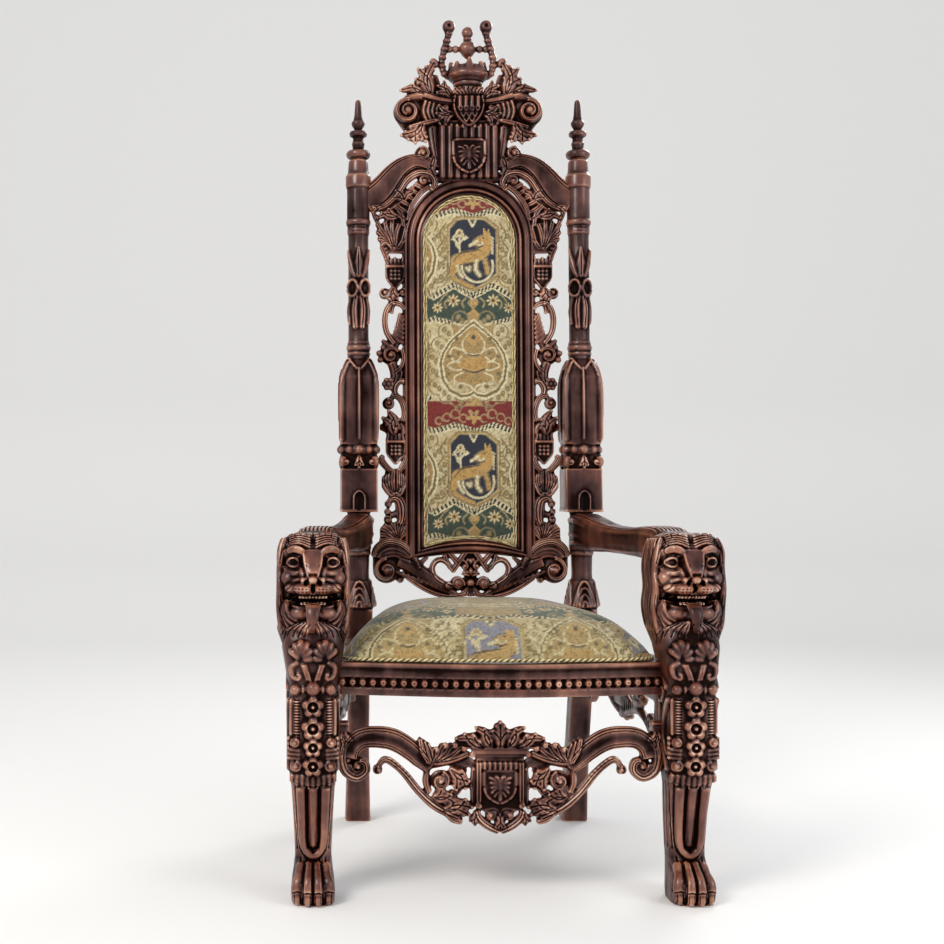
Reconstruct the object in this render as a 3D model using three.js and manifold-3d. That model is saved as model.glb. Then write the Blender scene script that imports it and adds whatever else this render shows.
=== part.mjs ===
// A carved mahogany throne: two lion-headed front legs carry the arms, two tall posts carry a pierced
// back with an arched, upholstered panel, and a crowned crest closes the top.
// Millimetres, +Z up, the sitter faces -Y, origin on the floor under the middle of the chair.
import * as THREE from "three";
import { mergeVertices } from "three/addons/utils/BufferGeometryUtils.js";
import Module from "manifold-3d";

const wasm = await Module();
wasm.setup();

// ---------------------------------------------------------------- driving dimensions
const GAP = 0.3; // clearance between touching pieces
const TOE_Y = -357; // front of the paws
const HEEL_Y = 357; // back of the rear feet
const RAIL_TOP = 450; // top of the seat rail
const RAIL_BOTTOM = 386;
const LEG_X = 358; // middle of a front leg
const POST_X = 256; // middle of a back post
const SEAT_LEVEL = 500; // height at which the back starts to lean
const BACK_Y = 222; // middle of the back at that height
const LEAN = 56 / 1200; // the back's slope, as rise over run
const ARCH_Z = 1358; // spring line of the arched frame
const ARCH_OUT = 149; // the frame's outer and inner radius
const ARCH_IN = 108;
const SILL_Z = 618; // bottom corners of the frame
const SHAFT_TOP = 1548; // where the finial stands on the post

const backY = (z) => BACK_Y + LEAN * (z - SEAT_LEVEL);

// ---------------------------------------------------------------- solids
// A three.js geometry as a manifold-3d solid.
function solid(geometry) {
  const bare = geometry.clone();
  bare.deleteAttribute("normal");
  bare.deleteAttribute("uv");
  const merged = mergeVertices(bare, 1e-3);
  const index = merged.index.array;
  const triVerts = [];
  for (let i = 0; i < index.length; i += 3) {
    const [a, b, c] = [index[i], index[i + 1], index[i + 2]];
    if (a !== b && b !== c && c !== a) triVerts.push(a, b, c);
  }
  return new wasm.Manifold(
    new wasm.Mesh({
      numProp: 3,
      vertProperties: merged.attributes.position.array,
      triVerts: new Uint32Array(triVerts),
    }),
  );
}

// The outer skin of a mesh: small hollows shut in where carved members cross are filled.
function outerSkin(position, triangles) {
  const parent = Array.from({ length: position.length / 3 }, (_, i) => i);
  const root = (i) => {
    while (parent[i] !== i) i = parent[i] = parent[parent[i]];
    return i;
  };
  for (let i = 0; i < triangles.length; i += 3) {
    parent[root(triangles[i + 1])] = root(triangles[i]);
    parent[root(triangles[i + 2])] = root(triangles[i]);
  }
  const corner = (i) => new THREE.Vector3().fromArray(position, triangles[i] * 3);
  const volumes = new Map();
  for (let i = 0; i < triangles.length; i += 3) {
    const body = root(triangles[i]);
    const wedge = corner(i).dot(corner(i + 1).cross(corner(i + 2)));
    volumes.set(body, (volumes.get(body) ?? 0) + wedge / 6);
  }
  const largest = [...volumes.entries()].sort((a, b) => b[1] - a[1])[0][0];
  return triangles.filter((_, i) => root(triangles[i - (i % 3)]) === largest);
}

// A solid as a flat-shaded geometry.
function geometryOf(made) {
  const { numProp, vertProperties, triVerts } = made.getMesh();
  const count = vertProperties.length / numProp;
  const position = new Float32Array(count * 3);
  for (let i = 0; i < count; i++) {
    position.set(vertProperties.subarray(i * numProp, i * numProp + 3), i * 3);
  }
  const geometry = new THREE.BufferGeometry();
  geometry.setAttribute("position", new THREE.BufferAttribute(position, 3));
  geometry.setIndex(new THREE.BufferAttribute(outerSkin(position, triVerts), 1));
  geometry.computeVertexNormals();
  return geometry;
}

const join = (...pieces) =>
  pieces
    .flat(Infinity)
    .map(solid)
    .reduce((all, one) => all.add(one));

// The same geometry on the other side of the chair's middle plane, with its faces turned round again.
function mirrored(geometry) {
  const turned = (geometry.index ? geometry.toNonIndexed() : geometry.clone()).scale(-1, 1, 1);
  const position = turned.attributes.position.array;
  for (let i = 0; i < position.length; i += 9) {
    for (let k = 0; k < 3; k++) {
      [position[i + k], position[i + 3 + k]] = [position[i + 3 + k], position[i + k]];
    }
  }
  return turned;
}

const bothSides = (...pieces) => pieces.flat(Infinity).flatMap((piece) => [piece, mirrored(piece)]);

// Moves every vertex of a geometry by a rule.
function warp(geometry, rule) {
  const position = geometry.attributes.position;
  const point = new THREE.Vector3();
  for (let i = 0; i < position.count; i++) {
    point.fromBufferAttribute(position, i);
    rule(point);
    position.setXYZ(i, point.x, point.y, point.z);
  }
  return geometry;
}

// Slopes a piece that was modelled upright with the back.
const lean = (geometry) => warp(geometry, (p) => (p.y += backY(p.z)));

// A value between the entries of a list, at t from 0 to 1.
function between(list, t) {
  const place = Math.min(Math.max(t, 0), 1) * (list.length - 1);
  const low = Math.min(Math.floor(place), list.length - 2);
  return list.length < 2 ? list[0] : THREE.MathUtils.lerp(list[low], list[low + 1], place - low);
}

// A carved member that runs along a line of [x, z] points. widths are its half widths from start to end,
// depth is how far its ridge stands in front of y, and its back is flatter.
function vine(line, widths, { y = 0, depth = 9, rear = 6, sides = 4, steps = 5 } = {}) {
  const points = line.map(([x, z, out = 0]) => new THREE.Vector3(x, -out, z));
  const curve = new THREE.CatmullRomCurve3(points, false, "centripetal");
  return warp(new THREE.CylinderGeometry(1, 1, 1, sides, steps), (p) => {
    const t = 0.5 - p.y;
    const centre = curve.getPointAt(t);
    const along = curve.getTangentAt(t);
    const half = between(widths, t);
    const thick = (p.z > 0 ? depth : rear) * Math.min(1, 0.35 + half / between(widths, 0.5));
    const across = p.x * half;
    const flat = Math.hypot(along.x, along.z) || 1;
    p.set(
      centre.x - (across * along.z) / flat,
      centre.y + y - p.z * thick,
      centre.z + (across * along.x) / flat,
    );
  });
}

// A scroll seen from the front: a raised rim round a sunk ring and a round eye.
function volute(x, z, radius, { y = 0, depth = 12, sides = 8 } = {}) {
  const profile = [
    [0, depth],
    [0.36, 0.85 * depth],
    [0.5, 0.3 * depth],
    [0.84, 0.85 * depth],
    [1, 0.3 * depth],
    [0.95, -8],
    [0, -8],
  ].map(([reach, out]) => new THREE.Vector2(reach * radius, -out));
  return new THREE.LatheGeometry(profile, sides).translate(x, y, z);
}

function ball([x, y, z], [rx, ry, rz], across = 7, down = 5) {
  const sphere = new THREE.SphereGeometry(1, across, down).rotateX(Math.PI / 2);
  return sphere.scale(rx, ry, rz).translate(x, y, z);
}

// A leaf whose lobes fan out from its root: tips are [x, z] points in order round the fan. Its front rises
// to a point near the root, and it is notched between the lobes.
function leaf(root, tips, half, { y = 0, depth = 9, rear = 6, notch = 0.55 } = {}) {
  const bearing = (tip) => Math.atan2(tip[1] - root[1], tip[0] - root[0]);
  const spread = (a, b) => bearing(a) - bearing(b);
  const turn = (angle) => Math.atan2(Math.sin(angle), Math.cos(angle));
  const fan = [...tips].sort((a, b) => turn(spread(a, tips[0])) - turn(spread(b, tips[0])));
  const heart = [0, 1].map((k) => fan.reduce((sum, tip) => sum + tip[k], 0) / fan.length);
  const axis = Math.atan2(heart[1] - root[1], heart[0] - root[0]);
  const foot = (side) => [
    root[0] + half * Math.cos(axis + (side * Math.PI) / 2),
    root[1] + half * Math.sin(axis + (side * Math.PI) / 2),
  ];
  const edge = [foot(-1)];
  fan.forEach((tip, i) => {
    if (i > 0) edge.push([0, 1].map((k) => root[k] + notch * ((fan[i - 1][k] + tip[k]) / 2 - root[k])));
    if (fan.length < 2) {
      edge.push([0, 1].map((k) => (root[k] + tip[k]) / 2 + (foot(-1)[k] - root[k]) * 0.9));
    }
    edge.push(tip);
    if (fan.length < 2) edge.push([0, 1].map((k) => (root[k] + tip[k]) / 2 + (foot(1)[k] - root[k]) * 0.9));
  });
  edge.push(foot(1));
  const middle = [0, 1].map((k) => root[k] + 0.35 * (heart[k] - root[k]));
  return relief(edge, middle, { y, depth, rear });
}

// An outline with lobes along each of its straight runs: a run of [x, z, lobes, reach] carries that many
// leaf tips, reach beyond the line on the right-hand side as it is followed.
function scalloped(runs) {
  return runs.flatMap(([x, z, lobes = 0, reach = 0], i) => {
    const [nextX, nextZ] = runs[(i + 1) % runs.length];
    const [dx, dz] = [nextX - x, nextZ - z];
    const length = Math.hypot(dx, dz) || 1;
    const tips = Array.from({ length: lobes }, (_, k) => {
      const [tip, notch] = [(k + 0.5) / lobes, (k + 1) / lobes];
      const point = [x + dx * tip + (dz / length) * reach, z + dz * tip - (dx / length) * reach];
      return k + 1 < lobes ? [point, [x + dx * notch, z + dz * notch]] : [point];
    });
    return [[x, z], ...tips.flat()];
  });
}

// A form with a star-shaped outline, raised towards its middle. The outline runs anticlockwise.
function relief(edge, [x, z], { y = 0, depth = 9, rear = 6, lip = 0.3 } = {}) {
  const form = new THREE.CylinderGeometry(1, 1, 1, edge.length, 1);
  return warp(form, (p) => {
    const front = p.y > 0;
    const centre = p.x === 0 && p.z === 0;
    const turn = Math.atan2(p.x, p.z) / (2 * Math.PI);
    const place = Math.round((turn + 1) * edge.length) % edge.length;
    const [px, pz] = centre ? [x, z] : edge[place];
    p.set(px, y + (front ? -depth * (centre ? 1 : lip) : rear), pz);
  });
}

const box = (x0, x1, y0, y1, z0, z1) =>
  new THREE.BoxGeometry(x1 - x0, y1 - y0, z1 - z0).translate((x0 + x1) / 2, (y0 + y1) / 2, (z0 + z1) / 2);

// An outline of [x, z] points as a plate from y0 back to y1.
function plate(outline, y0, y1, holes = []) {
  const shape = new THREE.Shape(outline.map(([x, z]) => new THREE.Vector2(x, z)));
  holes.forEach((hole) => shape.holes.push(new THREE.Path(hole.map(([x, z]) => new THREE.Vector2(x, z)))));
  const cut = new THREE.ExtrudeGeometry(shape, { depth: y1 - y0, bevelEnabled: false });
  return cut.rotateX(Math.PI / 2).translate(0, y1, 0);
}

// Turned work about a vertical line: the profile is a list of [radius, z], from the bottom to the top.
function turned(x, y, profile, sides = 8) {
  const points = profile.map(([radius, z]) => new THREE.Vector2(radius, z));
  const closed = [new THREE.Vector2(0, points[0].y), ...points, new THREE.Vector2(0, points.at(-1).y)];
  return new THREE.LatheGeometry(closed, sides).rotateX(Math.PI / 2).translate(x, y, 0);
}

// A body of stations [z, y, halfWidth, halfDepth], with corners as square as power says.
function loft(x, stations, { sides = 12, power = 4, start = 0 } = {}) {
  const column = new THREE.CylinderGeometry(1, 1, 1, sides, stations.length - 1, false, start);
  return warp(column, (p) => {
    const t = Math.round((p.y + 0.5) * (stations.length - 1));
    const [z, y, halfWidth, halfDepth] = stations[t];
    const reach = Math.hypot(p.x, p.z);
    const square = reach ? (Math.abs(p.x) ** power + Math.abs(p.z) ** power) ** (-1 / power) : 0;
    p.set(x + p.x * square * halfWidth, y - p.z * square * halfDepth, z);
  });
}

// ---------------------------------------------------------------- finishes
const mahogany = new THREE.MeshStandardMaterial({ color: 0x4a2318, roughness: 0.38, metalness: 0 });
const tapestry = new THREE.MeshStandardMaterial({ color: 0xa8946a, roughness: 0.95, metalness: 0 });
const liner = new THREE.MeshStandardMaterial({ color: 0x33261c, roughness: 0.95, metalness: 0 });

const throne = new THREE.Group();

// Adds a piece to the throne under its name. With side -1 it is set on the other side.
function add(name, made, material, side = 1) {
  const mesh = new THREE.Mesh(geometryOf(made), material);
  mesh.name = name;
  mesh.scale.x = side;
  throne.add(mesh);
}

const sideNames = [
  ["left", -1],
  ["right", 1],
];
const onEachSide = (name, made, material = mahogany) =>
  sideNames.forEach(([word, side]) => add(`${name}_${word}`, made, material, side));

// A heraldic shield: a flat field with a raised rim and a rampant beast of a few plain forms.
function shield(x, top, half, height, y, rim = 4) {
  const outline = (k) => [
    [x - half * k, top - half * (1 - k)],
    [x - half * k, top - height * 0.55 * k],
    [x - half * 0.55 * k, top - height * 0.86 * k],
    [x, top - height * k],
    [x + half * 0.55 * k, top - height * 0.86 * k],
    [x + half * k, top - height * 0.55 * k],
    [x + half * k, top - half * (1 - k)],
  ];
  const inner = (half - rim * 1.6) / half;
  return [
    plate(outline(1), y - rim, y + 12, [outline(inner).reverse()]),
    plate(outline(0.98), y, y + 11),
    vine([[x, top - height * 0.25], [x, top - height * 0.7]], [half * 0.2, half * 0.32, half * 0.16], {
      y,
      depth: rim,
      sides: 5,
      steps: 2,
    }),
  ];
}

// ---------------------------------------------------------------- front legs
// A round swelling of the given height about (x, z), for carving on a surface.
const swell = (x, z, [cx, cz], [rx, rz], height) =>
  height * Math.exp(-(((x - cx) / rx) ** 2) - ((z - cz) / rz) ** 2);

// The leg leans back from the knee to the ankle: [z, y, halfWidth, halfDepth] from the floor up.
const LEG_SHAPE = [
  [0, -296, 38, 44],
  [30, -292, 38, 46],
  [58, -272, 36, 38],
  [76, -260, 33, 35],
  [96, -256, 35, 36],
  [160, -262, 40, 42],
  [236, -276, 45, 48],
  [240, -278, 47, 51],
  [300, -284, 46, 52],
  [400, -284, 46, 50],
  [440, -280, 54, 52],
  [480, -268, 60, 54],
  [540, -254, 60, 52],
];
function legAt(z) {
  const above = Math.max(1, LEG_SHAPE.findIndex(([level]) => level >= z));
  const [low, high] = [LEG_SHAPE[above - 1], LEG_SHAPE[above]];
  const t = (z - low[0]) / (high[0] - low[0]);
  return low.map((value, i) => THREE.MathUtils.lerp(value, high[i], t));
}

// How far the carving stands out: flutes on the shin, and flowers, cuff and leaves on the knee.
function legCarving(x, z) {
  if (z < 90) return 0;
  if (z < 236) return 3.5 * Math.cos((x / 16) * Math.PI) * Math.min(1, (z - 90) / 20);
  const flower = [392, 352, 312, 274].reduce((sum, level) => sum + swell(x, z, [0, level], [19, 15], 8), 0);
  const ribs = swell(Math.abs(x), z, [36, 340], [7, 70], 4);
  const across = Math.abs(x);
  const shells = swell(across, z, [24, 452], [16, 20], 16) + swell(across, z, [22, 424], [14, 8], 9);
  return flower + ribs + shells;
}

function legBody() {
  const plain = [0, 30, 58, 76, 92, 110, 170, 230, 238, 254];
  const carved = [274, 293, 312, 332, 352, 372, 392, 410, 424, 438, 454, 474, 520];
  const rows = [...plain, ...carved];
  const column = new THREE.CylinderGeometry(1, 1, 1, 14, rows.length - 1);
  return warp(column, (p) => {
    const [z, y, halfWidth, halfDepth] = legAt(rows[Math.round((p.y + 0.5) * (rows.length - 1))]);
    const square = p.x || p.z ? (Math.abs(p.x) ** 3.4 + Math.abs(p.z) ** 3.4) ** (-1 / 3.4) : 0;
    const [across, front] = [p.x * square * halfWidth, p.z * square];
    const out = front > 0.1 ? legCarving(across, z) * Math.min(1, front * 1.4) : 0;
    p.set(across, y - front * halfDepth - out, z);
  });
}

// Four toes, the middle two a little ahead. A toe has six sides, with a flat of the hexagon in front.
const TOE_LENGTH = 34; // half a toe's length
const toes = () =>
  [-28, -9.5, 9.5, 28].map((x, i) => {
    const back = i % 3 ? 0 : 10;
    return ball([x, TOE_Y + TOE_LENGTH * Math.cos(Math.PI / 6) + back, 19], [12, TOE_LENGTH, 27], 6, 4);
  });

// The lion's face, on an ellipsoid whose poles point forward and back.
function lionHead() {
  const skull = new THREE.SphereGeometry(1, 16, 12).rotateX(-Math.PI / 2);
  return warp(skull, (p) => {
    const around = Math.atan2(p.z, p.x);
    const rim = Math.hypot(p.x, p.z);
    const mane = 1 + 0.05 * rim ** 4 * Math.cos(9 * around);
    const [x, z] = [72 * p.x * mane, 594 + (p.z > 0 ? 96 : 110) * p.z * mane];
    const side = Math.abs(x);
    const face =
      swell(side, z, [0, 640], [13, 30], 13) +
      swell(side, z, [0, 606], [17, 13], 24) +
      swell(side, z, [31, 660], [19, 9], 15) -
      swell(side, z, [31, 641], [11, 7], 5) +
      swell(side, z, [24, 588], [17, 13], 22) +
      swell(side, z, [48, 612], [13, 18], 8) -
      swell(side, z, [12, 566], [26, 9], 12) +
      swell(side, z, [0, 546], [24, 10], 20) +
      swell(side, z, [0, 520], [20, 16], 10);
    const depth = p.y < 0 ? 66 : 70;
    const blunt = Math.sign(p.y) * Math.abs(p.y) ** 0.75;
    p.set(x, -256 + depth * blunt - (p.y < -0.2 ? face : 0), z);
  });
}

function frontLeg() {
  const mouth = warp(ball([0, -334, 570], [38, 32, 8], 7, 4), (p) => (p.z -= 0.0035 * p.x * p.x));
  const beads = [
    ball([0, -334, 421], [12, 10, 12], 6, 4),
    ...bothSides(ball([31, -330, 418], [10, 9, 10], 6, 4)),
  ];
  const floor = box(-80, 80, TOE_Y - 20, -180, -60, 0);
  return join(legBody(), toes(), lionHead(), beads).subtract(solid(mouth)).subtract(solid(floor));
}

// The leg on the right stands at +X.
const legSolid = solid(geometryOf(frontLeg()).translate(LEG_X, 0, 0));
const bothLegs = legSolid.add(solid(mirrored(geometryOf(legSolid))));
onEachSide("lion_leg", legSolid);

// ---------------------------------------------------------------- arms
// The arm leaves the post level, dips, and runs out to the back of the lion's head.
const HEAD_BACK_Y = -184;
function arm() {
  const stations = [
    [POST_X, BACK_Y, 726, 646],
    [POST_X + 4, 150, 724, 650],
    [POST_X + 22, 96, 706, 648],
    [POST_X + 58, 10, 700, 642],
    [POST_X + 86, -90, 702, 640],
    [LEG_X - 2, -160, 702, 632],
    [LEG_X, HEAD_BACK_Y + 1, 696, 616],
  ];
  const count = stations.length - 1;
  const rail = new THREE.CylinderGeometry(1, 1, 1, 8, count);
  return warp(rail, (p) => {
    const [x, y, top, bottom] = stations[Math.round((p.y + 0.5) * count)];
    const half = y < -60 ? 36 : 31;
    const square = p.x || p.z ? (p.x ** 4 + p.z ** 4) ** -0.25 : 0;
    p.set(x + p.x * square * half, y, (top + bottom) / 2 - (p.z * square * (top - bottom)) / 2);
  });
}
// ---------------------------------------------------------------- back posts
// Rear leg, square block, turned shaft, niche block and tall lancet block are one long piece.
function rearLeg() {
  return loft(
    POST_X,
    [
      [0, HEEL_Y - 28, 30, 28],
      [70, HEEL_Y - 42, 28, 27],
      [200, 278, 25, 27],
      [330, 240, 24, 27],
      [390, 228, 26, 28],
      [400, 226, 31, 31],
      [508, backY(508), 31, 31],
    ],
    { sides: 8, power: 8 },
  );
}

// A flared foot of overlapping petals stands on the square block.
function petals() {
  const rows = [[508, 37, 4], [536, 34, 3], [566, 25, 0]];
  const flare = new THREE.CylinderGeometry(1, 1, 1, 16, rows.length - 1);
  return warp(flare, (p) => {
    const [z, radius, lobe] = rows[Math.round((p.y + 0.5) * (rows.length - 1))];
    const reach = radius + lobe * Math.cos(8 * Math.atan2(p.z, p.x));
    p.set(POST_X + p.x * reach, -p.z * reach, z);
  });
}

function shaft() {
  const profile = [
    [30, 500],
    [24, 560],
    [24, 634],
    [30, 642],
    [30, 728],
    [30, 824],
    [35, 834],
    [37, 858],
    [46, 866],
    [46, 880],
    [30, 888],
    [27, 1090],
    [29, 1096],
    [29, 1114],
    [23.5, 1124],
    [23.5, 1376],
    [29, 1398],
    [26, 1408],
    [26, 1482],
    [29, 1486],
    [29, 1512],
    [23, 1516],
    [22, SHAFT_TOP],
  ];
  return turned(POST_X, 0, profile, 8);
}

// Each face of the tall block rises to a point, with a ridge down its middle.
function lancetBlock() {
  const rows = [[884, 40, 44], [1000, 41, 46], [1050, 36, 41], [1088, 20, 24]];
  const blocks = new THREE.CylinderGeometry(1, 1, 1, 8, rows.length - 1);
  return warp(blocks, (p) => {
    const [z, corner, ridge] = rows[Math.round((p.y + 0.5) * (rows.length - 1))];
    const onRidge = Math.min(Math.abs(p.x), Math.abs(p.z)) < 0.1;
    const reach = p.x || p.z ? (onRidge ? ridge : corner * Math.SQRT2) : 0;
    p.set(POST_X + p.x * reach, -p.z * reach, z);
  });
}

function nicheBlock() {
  const arch = relief([[-10, 738], [10, 738], [12, 790], [0, 812], [-12, 790]], [0, 776], {
    y: -38,
    depth: 9,
  });
  const curls = bothSides(ball([27, -30, 846], [12, 14, 14], 6, 4));
  const block = box(POST_X - 42, POST_X + 42, -42, 42, 731, 827);
  return [block, ...[arch, ...curls].map((piece) => piece.translate(POST_X, 0, 0))];
}

// A ribbon bow with leaves above it and two tails below, carved on the front of the shaft.
function bow() {
  const spray = () => [
    leaf([0, 1250], [[-13, 1326], [0, 1344], [13, 1326]], 8, { y: -19, depth: 10, rear: 14, notch: 0.8 }),
    relief([[0, 1222], [14, 1230], [16, 1250], [0, 1262], [-16, 1250], [-14, 1230]], [0, 1244], {
      y: -18,
      depth: 12,
      rear: 14,
    }),
    leaf([0, 1236], [[-12, 1152], [12, 1152]], 8, { y: -18, depth: 8, rear: 14 }),
  ];
  return spray().map((piece) => piece.translate(POST_X, 0, 0));
}

const post = join(rearLeg(), [petals(), shaft(), lancetBlock(), nicheBlock(), bow()].flat(2).map(lean));
const postSolid = solid(geometryOf(post));
const bothPosts = postSolid.add(solid(mirrored(geometryOf(postSolid))));
onEachSide("back_post", postSolid);
onEachSide("arm", join(arm()).subtract(legSolid).subtract(postSolid));

const finialProfile = [
  [20, SHAFT_TOP + GAP],
  [28, 1556],
  [28, 1568],
  [14, 1576],
  [15, 1588],
  [11, 1604],
  [19, 1608],
  [19, 1617],
  [8, 1624],
  [14, 1634],
  [6.5, 1652],
  [5, 1692],
];
onEachSide("finial", join(lean(turned(POST_X, 0, finialProfile, 8))));

// ---------------------------------------------------------------- seat rails
const RAIL_FRONT_Y = -276; // front face of the front rail beside the legs
const RAIL_BOW = 40; // how far its middle swells forward
const RAIL_END = LEG_X - 46 - GAP;
const bowAt = (x) => RAIL_FRONT_Y - RAIL_BOW * Math.max(0, Math.cos((x / RAIL_END) * (Math.PI / 2))) ** 1.3;

// The rail's moulded section, swept along the bow: [how far it stands out, z] down its face.
function bowedRail() {
  const face = [
    [-8, RAIL_TOP],
    [5, RAIL_TOP],
    [5, 442],
    [0, 438],
    [0, 424],
    [-6, 421],
    [-6, 403],
    [0, 400],
    [2, RAIL_BOTTOM],
  ];
  const section = [...face.map(([out, z]) => [-out, z]), [28, RAIL_BOTTOM], [28, RAIL_TOP]];
  const steps = 10;
  const shape = new THREE.Shape(section.slice(1).map(([y, z]) => new THREE.Vector2(y, z)));
  const bar = new THREE.ExtrudeGeometry(shape, { depth: 2 * RAIL_END, steps, bevelEnabled: false });
  return warp(bar, (p) => {
    const x = RAIL_END - p.z;
    p.set(-x, bowAt(x) + p.x, p.y);
  });
}

function beads() {
  const count = 32;
  return Array.from({ length: count }, (_, i) => {
    const x = THREE.MathUtils.lerp(-RAIL_END + 9, RAIL_END - 9, i / (count - 1));
    return new THREE.OctahedronGeometry(7.4).translate(x, bowAt(x) + 3, 412);
  });
}

const frontRail = join(bowedRail(), beads()).subtract(bothLegs);
add("front_seat_rail", frontRail, mahogany);

// The side rail runs from the inside of the front leg to the face of the back post.
function sideRail() {
  const plan = new THREE.Shape([
    new THREE.Vector2(304, -232),
    new THREE.Vector2(330, -232),
    new THREE.Vector2(POST_X + 26, 190),
    new THREE.Vector2(POST_X, 190),
  ]);
  return new THREE.ExtrudeGeometry(plan, { depth: RAIL_TOP - RAIL_BOTTOM, bevelEnabled: false }).translate(
    0,
    0,
    RAIL_BOTTOM,
  );
}
onEachSide("side_seat_rail", join(sideRail()).subtract(legSolid).subtract(postSolid).subtract(frontRail));

const rearRailEnd = POST_X - 31 - GAP;
add("rear_seat_rail", join(box(-rearRailEnd, rearRailEnd, 206, 234, RAIL_BOTTOM, RAIL_TOP)), mahogany);

// ---------------------------------------------------------------- seat cushion
// A drop-in cushion that fills the frame from leg to leg, narrower behind, stuffed to a high crown.
const CUSHION_BASE = RAIL_TOP + GAP;
const CUSHION_HIGH = 96;
const CUSHION_SQUARE = 14; // power of its plan: the higher, the squarer its corners
function cushion() {
  const [front, rear] = [-264, 190];
  const dome = new THREE.CylinderGeometry(1, 1, 1, 24, 5);
  return warp(dome, (p) => {
    const level = Math.sin(((p.y + 0.5) * Math.PI) / 2);
    const round = Math.sqrt(Math.max(0, 1 - level ** 2.6));
    const edge = (Math.abs(p.x) ** CUSHION_SQUARE + Math.abs(p.z) ** CUSHION_SQUARE) ** (1 / CUSHION_SQUARE);
    const reach = edge > 0 ? 1 / edge : 0;
    const [across, along] = [p.x * reach * (0.4 + 0.6 * round), -p.z * reach * (0.4 + 0.6 * round)];
    const y = THREE.MathUtils.lerp(front, rear, (along + 1) / 2);
    const half = THREE.MathUtils.lerp(312, 224, (along + 1) / 2);
    const swell = along < 0 ? -34 * (1 - across * across) * along * along : 0;
    p.set(across * half, y + swell, CUSHION_BASE + CUSHION_HIGH * level);
  });
}
add("seat_cushion", join(cushion()).subtract(bothLegs).subtract(bothPosts), tapestry);

// ---------------------------------------------------------------- arched back frame
const arc = (radius, from, to, count) =>
  Array.from({ length: count + 1 }, (_, i) => {
    const angle = THREE.MathUtils.degToRad(THREE.MathUtils.lerp(from, to, i / count));
    return [radius * Math.cos(angle), ARCH_Z + radius * Math.sin(angle)];
  });
const sill = (half, edge, rise, count = 4) =>
  Array.from({ length: count + 1 }, (_, i) => {
    const x = THREE.MathUtils.lerp(-half, half, i / count);
    return [x, edge + rise * (1 - (x / half) ** 2)];
  });
const archOutline = (radius, edge, rise) => [...arc(radius, 0, 180, 12), ...sill(radius, edge, rise)];

const frameRing = (outer, inner, y0, y1) =>
  plate(
    archOutline(outer, SILL_Z + (ARCH_OUT - outer) * 0.8, 16),
    y0,
    y1,
    [archOutline(inner, SILL_Z + (ARCH_OUT - inner) * 0.72, 20).reverse()],
  );
add(
  "back_frame",
  join([frameRing(ARCH_OUT, ARCH_IN, -12, 22), frameRing(ARCH_OUT - 7, ARCH_IN + 18, -21, -11)].map(lean)),
  mahogany,
);

// The upholstered panel stands a little proud of the frame's inner edge, and a board closes it behind.
const padHalf = ARCH_IN - GAP;
const padEdge = SILL_Z + (ARCH_OUT - ARCH_IN) * 0.72 + GAP;
const padOutline = (inset) => archOutline(padHalf - inset, padEdge + inset, 20);
add(
  "back_panel",
  join(
    [plate(padOutline(0), -6, 12), plate(padOutline(14), -13, 0), plate(padOutline(36), -18, -4)].map(
      lean,
    ),
  ),
  tapestry,
);
add("back_cover", join(lean(plate(archOutline(padHalf, padEdge, 20), 12 + GAP, 20))), liner);

// ---------------------------------------------------------------- pierced sides of the back
// A crown of leaf points, a ledge and a shield, as they come twice down each side.
const crownedShield = (x, top) => [
  leaf([x, top - 4], [[x - 19, top + 22], [x, top + 28], [x + 19, top + 22]], 21, { depth: 9, notch: 0.7 }),
  relief(
    [[x - 21, top - 30], [x, top - 56], [x + 21, top - 30], [x + 21, top], [x - 21, top]],
    [x, top - 24],
    { depth: 9, lip: 0.7 },
  ),
];

function sideScroll() {
  const x = 172; // middle of the strip
  const broad = { depth: 12, notch: 0.7 };
  return join(
    [
      // the strip's inner stem
      box(ARCH_OUT + GAP, 157, -4, 4, 656, 1430),
      vine([[122, 1488], [150, 1470], [182, 1436]], [7, 8, 7], { steps: 2 }),
      leaf([170, 1440], [[200, 1446], [190, 1424]], 10),
      // palmette and crowned shield
      leaf([168, 1334], [[206, 1362], [210, 1384], [198, 1408], [172, 1418], [156, 1404]], 12, broad),
      vine([[168, 1400], [168, 1316]], [6, 8], { steps: 1 }),
      crownedShield(x, 1299),
      vine([[156, 1236], [180, 1230], [197, 1196], [196, 1156], [174, 1120]], [7, 7, 8, 7, 7], { steps: 4 }),
      leaf([158, 1150], [[186, 1192], [186, 1156]], 10),
      leaf([172, 1118], [[203, 1134]], 9),
      // acanthus volute, berry and small scroll
      volute(190, 1093, 21, { depth: 12 }),
      vine([[158, 1130], [174, 1106], [182, 1060]], [8, 9, 7], { steps: 3 }),
      vine([[186, 1080], [181, 1030], [160, 984]], [7, 7, 8], { steps: 3 }),
      ball([190, -2, 1029], [10, 10, 10], 6, 4),
      volute(182, 986, 15, { depth: 10, sides: 7 }),
      leaf([158, 950], [[190, 964], [190, 936], [170, 922]], 12, { depth: 10, notch: 0.7 }),
      crownedShield(x, 893),
      // lower palmette and leaves
      leaf([166, 760], [[204, 790], [206, 816], [196, 840], [174, 850], [156, 830]], 12, broad),
      leaf([162, 712], [[206, 736], [200, 760], [176, 778]], 12, broad),
      leaf([165, 668], [[204, 668], [211, 690], [206, 714], [184, 724]], 12, broad),
    ]
      .flat(Infinity)
      .map(lean),
  );
}
const frameSolid = solid(throne.getObjectByName("back_frame").geometry);

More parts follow.
